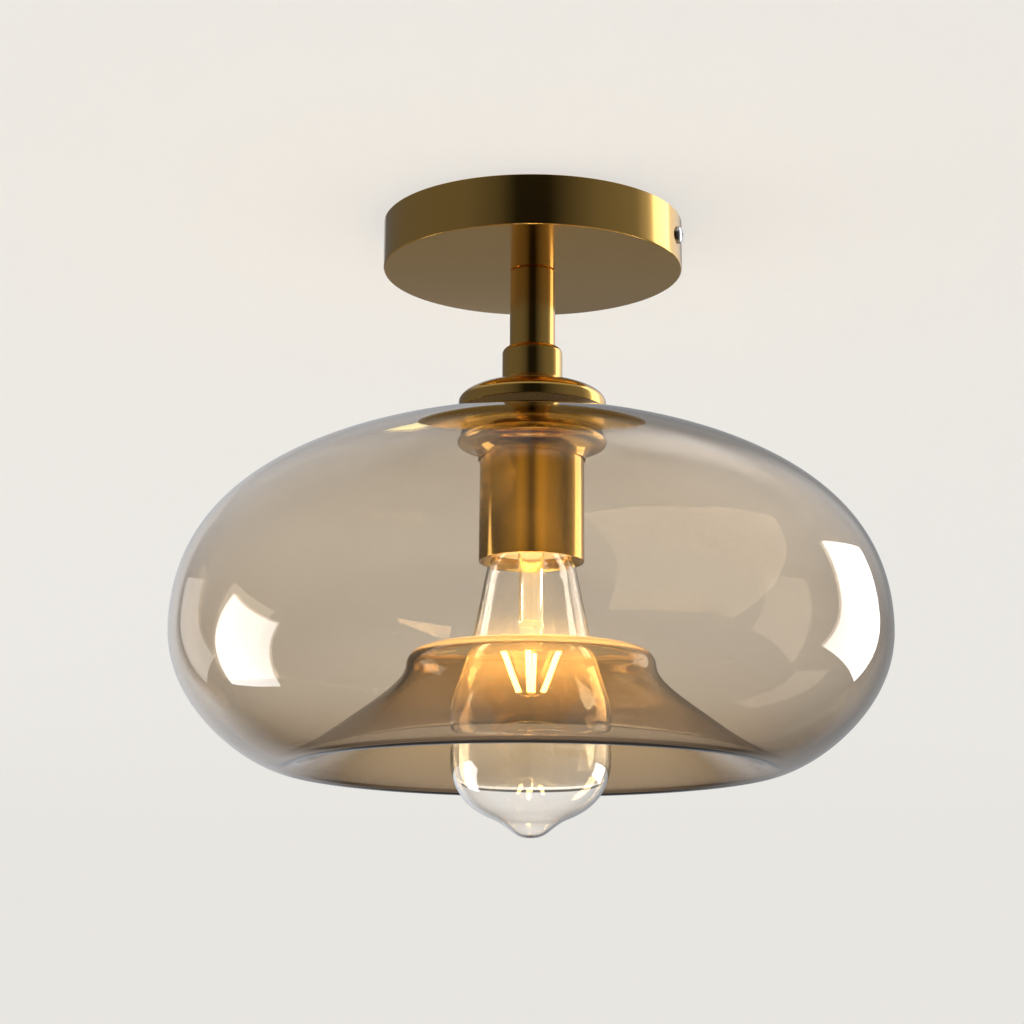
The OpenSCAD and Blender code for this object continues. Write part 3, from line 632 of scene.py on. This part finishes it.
class BuildStem(bpy.types.Operator):
    """Turn the stem tube, its collar, the washer and the domed cap"""

    bl_idname = "ceiling_light.stem"
    bl_label = "Stem and Cap"

    def execute(self, context):
        sizes = context.scene.ceiling_light_sizes
        metal = brass(context)
        top = -sizes.canopy_height / MM
        r = sizes.stem_diameter / 2 / MM
        wall, foot = 1.2, -54.7
        tube = [(r - wall, top), (r - 0.45, top), (r, top - 0.5), (r, foot), (r - wall, foot)]
        finished(turned("stem_pipe", tube, 128), "root", metal, "brass", "stem_tube")

        collar_r, collar_top, collar_end, shoulder = 12.0, -51.7, -65.25, 2.6
        collar = ([(ROD_HOLE, collar_end), (collar_r - 0.3, collar_end), (collar_r, collar_end + 0.3)]
                  + arc((collar_r - shoulder, collar_top - shoulder), shoulder, 0, 90, 16)
                  + [(r + 0.05, collar_top), (r + 0.05, collar_top - 3), (ROD_HOLE, collar_top - 3)])
        finished(turned("stem_collar_turned", collar, 128), "root", metal, "brass", "stem_collar")

        washer = [(ROD_HOLE, CAP_TOP), (13, CAP_TOP), (14.5, -66.5), (14.6, -66.3), (12.9, collar_end),
                  (ROD_HOLE, collar_end)]
        finished(turned("collar_washer_turned", washer, 128), "root", metal, "brass", "collar_washer")

        cap_r, cap_z = 29.3, -74.4
        begin = math.degrees(math.acos(13 / cap_r))
        dome = 7.8 / math.sin(math.radians(begin))
        cap = ([(ROD_HOLE, CAP_UNDER), (ROD_HOLE, CAP_TOP)] + oval((0, cap_z), cap_r, dome, begin, 0, 28)
               + [(cap_r, -77.3), (cap_r - 0.09, -77.51), (cap_r - 0.3, CAP_RIM), (cap_r - wall, CAP_RIM)]
               + oval((0, cap_z), cap_r - wall, dome - wall, 0, begin, 28))
        finished(turned("shade_cap_spun", cap, 192), "root", metal, "brass", "shade_cap")
        return {"FINISHED"}


class BuildSleeve(bpy.types.Operator):
    """Turn the lampholder's sleeve with its inturned mouth, and its closed upper end"""

    bl_idname = "ceiling_light.sleeve"
    bl_label = "Lampholder Sleeve"

    def execute(self, context):
        metal = brass(context)
        r = context.scene.ceiling_light_sizes.sleeve_diameter / 2 / MM
        inside, thread_r, mouth = r - 1.1, r + 0.2, 16.25
        sleeve = [(inside, -72.4), (thread_r - 0.3, -72.4), (thread_r, -72.7), (thread_r, -92.5), (r, -92.7),
                  (r, -138.35), (r - 0.08, -138.58), (r - 0.3, -138.7), (inside, -138.7), (mouth + 0.1, -135.9),
                  (mouth, -135.7), (mouth, -134.9), (mouth + 0.1, -134.7), (inside, -137.2)]
        finished(turned("sleeve_turned", sleeve, 192), "root", metal, "brass", "lampholder_sleeve")

        bore, shoulder_z = thread_r + 0.05, -72.3
        dome = ([(ROD_HOLE, CAP_UNDER)] + oval((9.5, shoulder_z), bore + 1.2 - 9.5, 4.5, 90, 0, 16)
                + [(bore + 1.2, -76.6), (bore, -76.6)] + oval((9.1, shoulder_z), bore - 9.1, 3.3, 0, 90, 16)
                + [(ROD_HOLE, -69)])
        finished(turned("sleeve_dome_spun", dome, 128), "root", metal, "brass", "sleeve_dome")
        return {"FINISHED"}


class BuildRing(bpy.types.Operator):
    """Turn the flared retaining ring with its bead and cove"""

    bl_idname = "ceiling_light.ring"
    bl_label = "Retaining Ring"

    def execute(self, context):
        r = context.scene.ceiling_light_sizes.ring_diameter / 2 / MM
        top, low, bead_r, bore = -84.7, -95.2, 2.15, 21.0
        bead = (r - bead_r, top - bead_r)
        angle = math.radians(-75)
        cove = (bead[0] + bead_r * math.cos(angle), bead[1] + bead_r * math.sin(angle))
        outline = ([(bore + 0.2, top)] + arc(bead, bead_r, 90, -75, 24)
                   + oval((cove[0], low), bore + 0.5 - cove[0], cove[1] - low, 90, 0, 24)[1:]
                   + [(bore + 0.15, low), (bore, low + 0.15), (bore, top - 0.2)])
        finished(turned("retaining_ring_turned", outline, 192), "ring", brass(context), "brass", "retaining_ring")
        return {"FINISHED"}


class BuildShade(bpy.types.Operator):
    """Blow the shade: one wall from the neck round the bowl and up into the bell"""

    bl_idname = "ceiling_light.shade"
    bl_label = "Glass Shade"

    def execute(self, context):
        sizes, colours = context.scene.ceiling_light_sizes, context.scene.ceiling_light_colours
        thin, thick = sizes.glass_thickness / MM, sizes.fold_thickness / MM
        equator = (sizes.shade_diameter / 2 / MM, -168.0)
        neck, low, upright, lip = (29.0, -82.4), (95.3, -219.5), BELL_UPRIGHT, LIP_RADIUS
        line = ([(22 + thin / 2, neck[1])]
                + curve(neck, (neck[0] + 40, neck[1] - 10), (equator[0], equator[1] + 63), equator, 44)
                + curve(equator, (equator[0], equator[1] - 33), (low[0] + 8, low[1]), low, 34)[1:]
                + curve(low, (low[0] - 9.6, low[1]), (upright[0], upright[1] - 14.8), upright, 34)[1:]
                + arc((upright[0] - lip, upright[1]), lip, 0, 90, 10)[1:])
        wall = [thin + (thick - thin) * math.exp(-((z - low[1]) / 14) ** 2) for _, z in line]
        shade = turned("blown_shade", wall_outline(line, wall, 10), 256, 60)
        shade.visible_shadow = False
        glass = stock("Smoked amber blown glass", smoked_glass, colours.smoke, colours.smoke_density)
        finished(shade, "shade", glass, "smoked_glass", "glass_shade")

        rubber = stock("Moulded silicone", soft_polymer, "Moulded silicone", "#80602c", "#6b4f22", 0.35, 0.3)
        for node, body, inner, outer, under, top in (("upper_gasket", "root", 22.2, 29.0, -80.9, CAP_RIM),
                                                     ("lower_gasket", "shade", 22.4, 27.65, -84.6, -83.8)):
            gasket = turned(node + "_moulded", chamfered(inner, outer, under, top), 96)
            finished(gasket, body, rubber, "silicone", node)
        return {"FINISHED"}


def bulb_side(radius, steps=22, flank_steps=40):
    """Outside of the bulb: pulled-out tip, rounded end, flank and narrowed neck, in millimetres."""
    widest, end_height, tip_height, flank_height, roundness = -215.3, 26, 5.3, 88.8, 2 / 2.3
    points = []
    for i in range(steps + 1):
        a = math.radians(90 - 90 * (i / steps) ** 1.5)
        r = radius * max(math.cos(a), 0) ** roundness
        tip = tip_height * math.exp(-(r / 9.2) ** 3)
        points.append((r, widest - end_height * math.sin(a) ** roundness - tip))
    for i in range(1, flank_steps + 1):
        u = flank_height * i / flank_steps
        neck = min(max((u - 73.3) / 11, 0), 1)
        taper = 0.1825 * u * (1 - math.exp(-(u / 16.6) ** 1.6))
        points.append((radius - taper - 3.4 * neck * neck * (3 - 2 * neck), u + widest))
    return points


class BuildBulb(bpy.types.Operator):
    """Blow the bulb's glass, draw its mount and roll its screw cap"""

    bl_idname = "ceiling_light.bulb"
    bl_label = "Bulb"

    def execute(self, context):
        sizes, colours = context.scene.ceiling_light_sizes, context.scene.ceiling_light_colours
        outside = bulb_side(sizes.bulb_diameter / 2 / MM)
        outside[0] = (0.0, outside[0][1])
        wall, tip_wall = 0.8, 1.28
        inside = [(p[0] + wall * n[0], p[1] + wall * n[1]) for p, n in zip(outside, normals(outside))][:0:-1]
        envelope = turned("bulb_glass", outside + [p for p in inside if p[0] > 0.3]
                          + [(0.0, outside[0][1] + tip_wall)], 192, 60)
        envelope.visible_shadow = False
        finished(envelope, "bulb", stock("Clear bulb glass", clear_glass, "Clear bulb glass"), "clear_glass",
                 "bulb_envelope")

        rim = (outside[-1][0] - 0.5, -126.0)
        line = [rim, (rim[0] - 1.4, rim[1])] + curve((9.3, -126.4), (7.2, -128.5), (4.6, -132), (4.4, -142), 16) \
            + [(4.4, -164)]
        mount = turned("bulb_mount_flare", wall_outline(line, [1] * len(line)), 96, 40)
        stub = turned("bulb_mount_end", [(0, -166), (4.6, -166), (4.9, -165.7), (4.9, -163.3), (4.6, -163),
                                         (0, -163)], 64)
        pinch = start("bulb_mount_pinch", bpy.ops.mesh.primitive_cube_add, size=MM,
                      location=(0, 0, -169.25 * MM))
        pinch.scale = (8.4, 3.6, 7.5)
        placed(pinch)
        applied(pinch, "BEVEL", width=0.9 * MM, segments=4, limit_method="NONE")
        mount = tidied(joined([mount, stub, pinch]), 40)
        mount.visible_shadow = False
        # The mount's glass emits faintly, a painted glow for the filaments' light carried in it.
        finished(mount, "bulb", stock("Mount glass with painted glow", clear_glass, "Mount glass with painted glow", colours.glow),
                 "clear_glass", "bulb_stem")

        cap = [(12.3, -131.8), (12.75, -131.8), (13.0, -131.5), (12.9, -131.2), (12.5, -130.6), (12.5, -113.0),
               (12.35, -112.0), (9.6, -108.4), (9.2, -108.4), (9.2, -108.9), (12.0, -112.2), (12.0, -131.4)]
        shell = turned("bulb_cap_rolled", cap, 128)
        ridge = thread("bulb_cap_thread", 12.45, 13.1, 3.63, -112.4, -130.6)
        finished(tidied(joined([shell, ridge])), "bulb", stock("Nickel plated sheet", nickel_plate), "nickel",
                 "bulb_cap")
        for node, name, maker in (("bulb_contact", "Nickel plated sheet", nickel_plate),
                                  ("bulb_insulator", "Black cap glass", black_glass),
                                  ("bulb_driver", "Solder masked board", circuit_board)):
            dress(stock(name, maker), node)
        return {"FINISHED"}


class BuildFilaments(bpy.types.Operator):
    """Make the four lit filaments and the wires that carry them"""

    bl_idname = "ceiling_light.filaments"
    bl_label = "Filaments"

    def execute(self, context):
        top, low, radius = Vector((10.9, 0, -176.5)), Vector((4.65, 0, -200.3)), 1.15
        reach = top - low
        lean = reach.to_track_quat("Z", "Y").to_euler()
        stick = start("filament", bpy.ops.mesh.primitive_cylinder_add, vertices=32, radius=radius * MM,
                      depth=reach.length * MM, location=(top + low) / 2 * MM, rotation=lean)
        placed(stick)
        applied(stick, "BEVEL", width=0.35 * MM, segments=4, limit_method="ANGLE")
        sticks = joined([copied(stick, FILAMENT_TURN + 90 * k) for k in range(4)])
        bpy.data.objects.remove(stick)
        glow = stock("Lit phosphor coat", phosphor, context.scene.ceiling_light_colours.glow)
        finished(tidied(sticks, 50), "bulb", glow, "filament", "filaments")
        sticks.visible_shadow = False

        hub_top, hub_low = Vector((0, 0, -174.5)), Vector((0, 0, -203.3))
        parts = [swept("filament_post", [(0, 0, -173), (0, 0, -188), hub_low], 0.5, 2)]
        for k in range(4):
            turn = Matrix.Rotation(math.radians(FILAMENT_TURN + 90 * k), 3, "Z")
            high, foot = turn @ (top + Vector((0, 0, 1.2))), turn @ (low - Vector((0, 0, 1.2)))
            parts += [swept("filament_arm", [hub_top, hub_top.lerp(high, 0.5), high], 0.3),
                      swept("filament_foot", [hub_low, hub_low.lerp(foot, 0.5), foot], 0.3)]
        finished(joined(parts), "bulb", stock("Nickel plated sheet", nickel_plate), "nickel", "support_wires")
        return {"FINISHED"}


# Middle lines of the wires. From the top of the rod down, the neutral wire is the live one mirrored about the axis.
LIVE_ROUTE = ((14, -8, -9), (10, -8, -9), (7, -7.4, -8.2), (3.6, -5, -6), (0.6, -1.8, -6.2), (-1.2, -0.2, -9.4),
              (-1.6, 0, -14), (-1.6, 0, -30), (-1.6, 0, -50), (-1.6, 0, -68), (-1.6, 0.4, -78), (-1.4, 3, -82),
              (-0.8, 8, -82.8), (-0.2, 11, -84), (0, 11.5, -87), (0, 11.5, -90.5))
NEUTRAL_ROUTE = ((14, 0, -9), (10, 0, -9), (7, 0.6, -8), (4, 0.6, -6.6), (2, 0.2, -8.4), (1.6, 0, -11),
                 *((-x, -y, z) for x, y, z in LIVE_ROUTE[6:]))
EARTH_ROUTE = ((14, 8, -9), (9.8, 8, -9), (6.6, 10, -8.6), (3.6, 15, -9), (1, 20, -11.5), (0, 20.6, -14.8),
               (0, 18.4, -16.7), (0, 15.5, -16.85), (0, 13, -16.85))


class BuildWiring(bpy.types.Operator):
    """Run the insulated wires, thread the rod and chamfer its nuts"""

    bl_idname = "ceiling_light.wiring"
    bl_label = "Rod, Nuts and Wires"

    def execute(self, context):
        insulation = {"live_wire": ("Brown insulation", "#7a4a2b", "#653a20", "wire_brown", LIVE_ROUTE),
                      "neutral_wire": ("Blue insulation", "#2f63b5", "#2653a0", "wire_blue", NEUTRAL_ROUTE),
                      "earth_wire": ("Green insulation", "#6f9a2c", "#b9b32f", "wire_earth", EARTH_ROUTE)}
        for node, (name, light, dark, slot, route) in insulation.items():
            wire = swept(node + "_run", route, 1.05)
            finished(wire, "root", stock(name, soft_polymer, name, light, dark, 0.4, 0.25), slot, node)

        bore, root, top, low = 3.5, 4.5, -12.6, -76.8
        core = turned("rod_core", [(bore, top), (root - 0.3, top), (root, top - 0.3), (root, low + 0.3),
                                   (root - 0.3, low), (bore, low)], 64)
        ridge = thread("rod_thread", 4.48, 4.97, 1.0, top - 0.3, -76.6, 40)
        zinc = stock("Zinc plated steel", zinc_plate)
        finished(tidied(joined([core, ridge])), "root", zinc, "zinc_steel", "threaded_rod")

        nuts = []
        flats, height, hole, edge = 14, 3, 5.02, 0.55
        for top, turn in ((-13.9, 0), (-69.0, 0), (-73.2, 30)):
            low = top - height
            nut = start("rod_nut", bpy.ops.mesh.primitive_cylinder_add, vertices=6,
                        radius=flats / math.sqrt(3) * MM, depth=height * MM,
                        location=(0, 0, (top - height / 2) * MM), rotation=(0, 0, math.radians(turn + 30)))
            placed(nut)
            blank = turned("nut_blank", [(hole, top), (7.1, top), (8.1, top - edge), (8.1, low + edge), (7.1, low),
                                         (hole, low)], 96)
            applied(nut, "BOOLEAN", operation="INTERSECT", object=blank, solver="EXACT")
            bpy.data.objects.remove(blank)
            nuts.append(nut)
        finished(tidied(joined(nuts), 25), "root", stock("Raw turned brass", raw_brass), "raw_brass", "rod_nuts")
        return {"FINISHED"}


class DressFrame(bpy.types.Operator):
    """Give the CAD pieces whose shape is already right their finished materials"""

    bl_idname = "ceiling_light.dress"
    bl_label = "Bracket and Lampholder"

    def execute(self, context):
        dress(stock("Zinc plated steel", zinc_plate), "mounting_bracket", "terminal_screws", "block_screws",
              "lock_washer", "lampholder_bracket", "lampholder_screws")
        dress(stock("Raw turned brass", raw_brass), "earth_tag", "screw_shell", "contact_spring", "wire_terminals")
        dress(stock("Glazed porcelain", glazed_porcelain), "terminal_block", "lampholder_body")
        return {"FINISHED"}


# Studio

STUDIO_CENTRE = Vector((0, 0, -0.17))
STUDIO_RADIUS = 6.0
CARD_DISTANCE = 5.5


def facing(azimuth, elevation):
    """Direction at an azimuth from the camera's side of the lamp, turning to its right, in world axes."""
    a, e = math.radians(azimuth), math.radians(elevation)
    return Matrix.Rotation(math.radians(CAMERA_TURN), 3, "Z") @ Vector(
        (math.sin(a) * math.cos(e), -math.cos(a) * math.cos(e), math.sin(e)))


def seen_in_gloss(material, tree, out, metal=None, inner=None, deep=None, veiled=None, outer=None):
    """Finishes a studio surface that only reflections see: other rays pass through it.

    It shows one colour in satin metal, one in bright pieces inside the shade, one in the far wall of the glass,
    one in what is seen through the bell and one in the sheen of the near wall. Where a colour is None, that kind
    of reflection passes through too.
    """
    path = add(tree, "LightPath")
    depth = path.outputs["Transmission Depth"]
    reflected = add(tree, "Math", {0: path.outputs["Glossy Depth"], 1: 0.5}, operation="GREATER_THAN")
    satin = add(tree, "Math", {0: path.outputs["Is Singular Ray"], 1: 0.5}, operation="LESS_THAN")
    shallow = add(tree, "Math", {0: depth, 1: 2.5}, operation="LESS_THAN")
    far = add(tree, "Math", {0: depth, 1: 5.5, 2: 1.0}, operation="COMPARE")
    through = add(tree, "Math", {0: depth, 1: 6.5}, operation="GREATER_THAN")
    colour, shown = inner or BLACK, float(inner is not None)
    for factor, other in ((far, deep), (through, veiled), (shallow, outer), (satin, metal)):
        colour = add(tree, "Mix", {0: factor, 6: colour, 7: other or BLACK}, data_type="RGBA").outputs[2]
        shown = add(tree, "Mix", {0: factor, 2: shown, 3: float(other is not None)})
    shown = add(tree, "Math", {0: reflected, 1: shown}, operation="MULTIPLY")
    lit = add(tree, "Emission", {"Color": colour})
    mixed = add(tree, "MixShader", {0: shown, 1: add(tree, "BsdfTransparent"), 2: lit})
    return surfaced(material, out, mixed, True)


def hidden_from(piece, *kinds):
    """Hides a studio piece from kinds of rays."""
    for kind in kinds:
        setattr(piece, "visible_" + kind, False)


def card(name, corners, tint=(1, 1, 1), **levels):
    """A lit studio card with its corners in four directions as (azimuth, elevation)."""
    piece = start(name, bpy.ops.mesh.primitive_plane_add, size=1)
    for vertex, corner in zip(piece.data.vertices, corners):
        vertex.co = STUDIO_CENTRE + facing(*corner) * CARD_DISTANCE
    colours = {kind: tuple(level * v for v in tint) + (1,) for kind, level in levels.items()}
    piece.data.materials.append(seen_in_gloss(*fresh(name), **colours))
    hidden_from(piece, "camera", "diffuse", "shadow")


class BuildStudio(bpy.types.Operator):
    """Set the ceiling, the room, the lamps and the camera"""

    bl_idname = "ceiling_light.studio"
    bl_label = "Studio"

    def execute(self, context):
        scene = context.scene
        pale = scene.ceiling_light_colours.backdrop
        self.light_world(scene, pale)
        self.hang_ceiling(pale)
        self.build_room()
        self.place_lamps()
        self.place_camera(scene)
        scene.view_settings.view_transform = "Standard"
        scene.cycles.max_bounces = 32
        scene.cycles.transmission_bounces = 32
        scene.cycles.transparent_max_bounces = 16
        return {"FINISHED"}

    def light_world(self, scene, pale):
        """Pale to the eye, to reflections and through glass, and plain soft light on the lamp."""
        world = bpy.data.worlds.new("Pale studio")
        scene.world = world
        world.use_nodes = True
        tree = world.node_tree
        tree.nodes.clear()
        path = add(tree, "LightPath")
        shown = path.outputs["Is Camera Ray"]
        for kind in ("Is Glossy Ray", "Is Transmission Ray"):
            shown = add(tree, "Math", {0: shown, 1: path.outputs[kind]}, operation="MAXIMUM")
        light = add(tree, "Background", {"Color": (0.95, 0.97, 1.0, 1), "Strength": 0.55})
        seen = add(tree, "Background", {"Color": pale, "Strength": 1.0})
        mixed = add(tree, "MixShader", {0: shown, 1: light, 2: seen})
        tree.links.new(mixed.outputs[0], add(tree, "OutputWorld").inputs[0])

    def hang_ceiling(self, pale):
        """The ceiling that the lamp hangs from. It shows from below only, and keeps the canopy's soft shadow."""
        ceiling = start("ceiling", bpy.ops.mesh.primitive_plane_add, size=200, location=(0, 0, 0.4 * MM))
        placed(ceiling)
        material, tree, out = fresh("Painted ceiling")
        back = add(tree, "NewGeometry").outputs["Backfacing"]
        plain = add(tree, "Emission", {"Color": pale, "Strength": 0.785})
        shaded = add(tree, "BsdfDiffuse", {"Color": tuple(0.36 * v for v in pale[:3]) + (1,)})
        both = add(tree, "AddShader", {0: plain, 1: shaded})
        mixed = add(tree, "MixShader", {0: back, 1: add(tree, "BsdfTransparent"), 2: both})
        ceiling.data.materials.append(surfaced(material, out, mixed, True))
        hidden_from(ceiling, "diffuse", "glossy", "transmission", "shadow")

    def build_room(self):
        """Studio walls, with a pattern for each kind of reflection, and the lit cards and panels in front of them."""
        room = start("studio_walls", bpy.ops.mesh.primitive_uv_sphere_add, segments=96, ring_count=48,
                     radius=STUDIO_RADIUS, location=STUDIO_CENTRE)
        placed(room)
        material, tree, out = fresh("Grey studio walls")
        place = add(tree, "VectorRotate", {"Vector": add(tree, "TexCoord").outputs["Object"],
                                           "Center": STUDIO_CENTRE, "Angle": math.radians(-CAMERA_TURN)},
                    rotation_type="Z_AXIS")
        way = add(tree, "VectorMath", {0: place, 1: STUDIO_CENTRE}, operation="SUBTRACT")
        parts = add(tree, "SeparateXYZ", {0: add(tree, "VectorMath", {0: way}, operation="NORMALIZE")})
        side, away, up = parts.outputs
        ahead = add(tree, "Math", {0: away, 1: -1.0}, operation="MULTIPLY")
        azimuth, elevation = (add(tree, "Math", {0: angle}, operation="DEGREES") for angle in (
            add(tree, "Math", {0: side, 1: ahead}, operation="ARCTAN2"),
            add(tree, "Math", {0: up}, operation="ARCSINE")))

        def round_about(*stops):
            """Grey levels by azimuth."""
            return graded(tree, azimuth, -180, 180, stops)

        def up_and_down(*stops):
            """Grey levels by elevation."""
            return graded(tree, elevation, -90, 90, stops)

        def merged(operation, first, *others):
            """Merges levels and tints one after another."""
            for other in others:
                first = add(tree, "VectorMath", {0: first, 1: other}, operation=operation)
            return first

        walls = round_about(
            (-180, 0.45), (-163, 0.45), (-158, 0.12), (-91, 0.14), (-52, 0.13), (-27, 0.08), (-12, 0.01),
            (12, 0.01), (27, 0.07), (52, 0.15), (85, 0.2), (98, 0.45), (104, 0.9), (135, 1.0), (150, 0.8),
            (165, 0.3), (180, 0.12))
        above = up_and_down((-90, 0), (30, 0), (50, 1), (90, 1))
        walls = add(tree, "Mix", {0: above, 6: walls, 7: (0.5, 0.5, 0.5, 1)}, data_type="RGBA").outputs[2]

        behind = round_about((-180, 1), (-115, 1), (-75, 0), (75, 0), (115, 1), (180, 1))
        below = up_and_down((-90, 1), (-12, 1), (-4, 0), (90, 0))
        below = add(tree, "Math", {0: below, 1: behind}, operation="MULTIPLY")
        metal = add(tree, "Mix", {0: below, 6: walls, 7: (0.2, 0.195, 0.185, 1)}, data_type="RGBA").outputs[2]

        # Warm patches painted on the walls, seen in reflections inside the shade: a painted reflection of the lit
        # bulb in the near wall of the shade, and from there in the sleeve
        warm = round_about(
            (-180, 0), (-80, 0), (-65, 0.1), (-40, 0.34), (-24, 0.75), (-14, 0.6), (-3, 0.2), (3, 0.2),
            (12, 0.75), (22, 0.98), (37, 0.55), (57, 0.32), (75, 0), (180, 0))
        level = up_and_down((-90, 0), (-25, 0), (0, 1), (40, 1), (60, 0), (90, 0))
        warm = merged("MULTIPLY", warm, level, (1.0, 0.78, 0.17))
        floor = merged("MULTIPLY", up_and_down((-90, 0.3), (-12, 0.35), (0, 0), (90, 0)), behind)
        inner = merged("ADD", merged("MAXIMUM", walls, floor), warm)

        # The far wall of the glass sees the pale backdrop under the lamp
        floor = up_and_down(
            (-90, 1.1), (-60, 1.1), (-50, 0.87), (-40, 0.88), (-33, 0.75), (-26, 0.5), (-18, 0.14), (-6, 0.05),
            (0, 0), (90, 0))
        sides = round_about(
            (-180, 0.95), (-150, 0.95), (-70, 0.75), (-45, 0.15), (45, 0.15), (70, 0.3), (100, 0.42),
            (130, 0.5), (165, 0.72), (180, 0.75))
        deep = merged("MAXIMUM", walls, merged("MULTIPLY", floor, sides, (4.4, 5.2, 6.4)))

        # The sheen of the near wall, brighter high up on the right and at the back, and warm underneath
        sheen = up_and_down(
            (-90, 0.0), (-40, 0.0), (-20, 0.1), (0, 0.25), (10, 0.4), (22, 0.7), (35, 0.9), (58, 0.9),
            (70, 0.5), (90, 0.35))
        sideways = round_about(
            (-180, 0.6), (-162, 0.75), (-150, 1), (-120, 1), (-60, 0.35), (-30, 0.15), (30, 0.15), (60, 0.4),
            (95, 1), (120, 1), (150, 0.95), (162, 0.45), (180, 0.35))
        high = round_about((-180, 0), (122, 0), (138, 0.55), (158, 0.55), (172, 0), (180, 0))
        level = up_and_down((-90, 0), (42, 0), (50, 1), (66, 1), (78, 0), (90, 0))
        sheen = merged("ADD", merged("MULTIPLY", sheen, sideways), merged("MULTIPLY", high, level))
        back = round_about(
            (-180, 0.4), (-165, 0.65), (-146, 0.9), (-138, 0.0), (134, 0.0), (142, 0.35), (180, 0.35))
        level = up_and_down((-90, 0), (-30, 0), (-15, 1), (25, 1), (40, 0), (90, 0))
        low_right = graded(tree, side, -1, 1, ((-1, 0.0), (0.1, 0.0), (0.7, 0.3), (1, 0.5)))
        sheen = merged("MAXIMUM", sheen, merged("MULTIPLY", back, level), low_right)
        sheen = merged("MULTIPLY", sheen, (1.08, 1.1, 1.14))
        # The warm tint below is a painted glow in the fold's underside, standing in for the bulb's light carried
        # round in the glass
        under = up_and_down((-90, 0.55), (-45, 0.4), (-25, 0.08), (-5, 0), (90, 0))
        outer = merged("MAXIMUM", sheen, merged("MULTIPLY", under, (1.0, 0.8, 0.62)))

        room.data.materials.append(seen_in_gloss(material, tree, out, metal, inner, deep, inner, outer))
        hidden_from(room, "camera", "diffuse", "shadow")

        card("right_card", ((105.9, -16.8), (135.2, -14.6), (111.3, 27.1), (138.5, 21.6)),
             inner=4.0, deep=3.5, veiled=26.0, outer=6.5)
        card("left_card", ((-115.1, -38.1), (-84.8, -14.7), (-127.9, -23.6), (-102.3, 9.0)),
             inner=2.6, deep=2.6, veiled=20.0, outer=7.0)
        card("left_strip", ((-138, -14), (-122, -14), (-140, 15), (-124, 15)), outer=1.2)
        card("right_panel", ((104, -20), (128, -20), (104, 45), (128, 45)), (1, 0.985, 0.96), metal=2.3)
        card("left_slot", ((-126, 16), (-106, 16), (-126, 48), (-106, 48)), (1, 0.98, 0.95),
             inner=2.6, veiled=20.0)
        card("low_window", ((31, -30), (56, -31), (31, -16), (54, -28)), (0.96, 0.98, 1.05), deep=26.0)
        card("gold_glint", ((-169, 43.5), (-162.5, 43.5), (-169, 50), (-162, 50)), (1, 0.87, 0.46), outer=3.0)
        card("low_card", ((-35, -46), (-172, -55), (-80, -25), (-160, -28)), (0.9, 0.97, 1.1), deep=9.5)

    def place_lamps(self):
        """Two broad studio lamps for matt surfaces, and three small warm ones in each filament."""
        centre = Vector((0, 0, -0.15))
        for name, azimuth, elevation, power in (("right_lamp", 120, 10, 22), ("left_lamp", -105, -12, 14)):
            place = centre + facing(azimuth, elevation) * 2.2
            bpy.ops.object.light_add(type="AREA", location=place,
                                     rotation=(place - centre).to_track_quat("Z", "Y").to_euler())
            lamp = bpy.context.object
            lamp.name = name
            lamp.data.size, lamp.data.energy = 1.3, power
            hidden_from(lamp, "camera", "glossy", "transmission")
        for k in range(4):
            a = math.radians(FILAMENT_TURN + 90 * k)
            for reach, z in ((10.0, -180), (7.8, -188.4), (5.6, -197)):
                bpy.ops.object.light_add(
                    type="POINT", location=(reach * math.cos(a) * MM, reach * math.sin(a) * MM, z * MM))
                lamp = bpy.context.object
                lamp.name = "filament_lamp"
                lamp.data.color, lamp.data.energy = (1.0, 0.69, 0.32), 0.014
                lamp.data.shadow_soft_size = 1.5 * MM
                hidden_from(lamp, "camera", "transmission")

    def place_camera(self, scene):
        """The photograph's view: from below and a little round from the front."""
        data = bpy.data.cameras.new("Camera")
        camera = bpy.data.objects.new("Camera", data)
        scene.collection.objects.link(camera)
        data.sensor_width, data.lens = 36.0, 85.71
        data.shift_x = -0.0191
        data.clip_start, data.clip_end = 0.05, 500
        turn = (Matrix.Rotation(math.radians(CAMERA_TURN), 4, "Z") @ Matrix.Rotation(math.radians(102.24), 4, "X")
                @ Matrix.Rotation(math.radians(0.245), 4, "Z"))
        camera.matrix_world = Matrix.Translation((0.2590, -0.9034, -0.32256)) @ turn
        scene.camera = camera


class CeilingLightPanel(bpy.types.Panel):
    """Lists the lamp's sizes, colours and building steps"""

    bl_idname = "VIEW3D_PT_ceiling_light"
    bl_label = "Ceiling Light"
    bl_space_type = "VIEW_3D"
    bl_region_type = "UI"
    bl_category = "Ceiling Light"

    def draw(self, context):
        layout = self.layout
        for group in (context.scene.ceiling_light_sizes, context.scene.ceiling_light_colours):
            column = layout.column(align=True)
            for name in group.__annotations__:
                column.prop(group, name)
        for step in STEPS:
            layout.operator(step.bl_idname)


STEPS = (BuildCanopy, BuildStem, BuildSleeve, BuildRing, BuildShade, BuildBulb, BuildFilaments, BuildWiring,
         DressFrame, BuildStudio)
CLASSES = (CeilingLightSizes, CeilingLightColours, *STEPS, CeilingLightPanel)


def register():
    """Registers the classes and hangs the settings on the scene."""
    for each in CLASSES:
        bpy.utils.register_class(each)
    bpy.types.Scene.ceiling_light_sizes = bpy.props.PointerProperty(type=CeilingLightSizes)
    bpy.types.Scene.ceiling_light_colours = bpy.props.PointerProperty(type=CeilingLightColours)


def unregister():
    """Takes the settings and the classes away again."""
    del bpy.types.Scene.ceiling_light_colours
    del bpy.types.Scene.ceiling_light_sizes
    for each in reversed(CLASSES):
        bpy.utils.unregister_class(each)


def main():
    """Builds the lamp and its studio."""
    register()
    for step in STEPS:
        group, name = step.bl_idname.split(".")
        getattr(getattr(bpy.ops, group), name)()


if __name__ == "__main__":
    main()
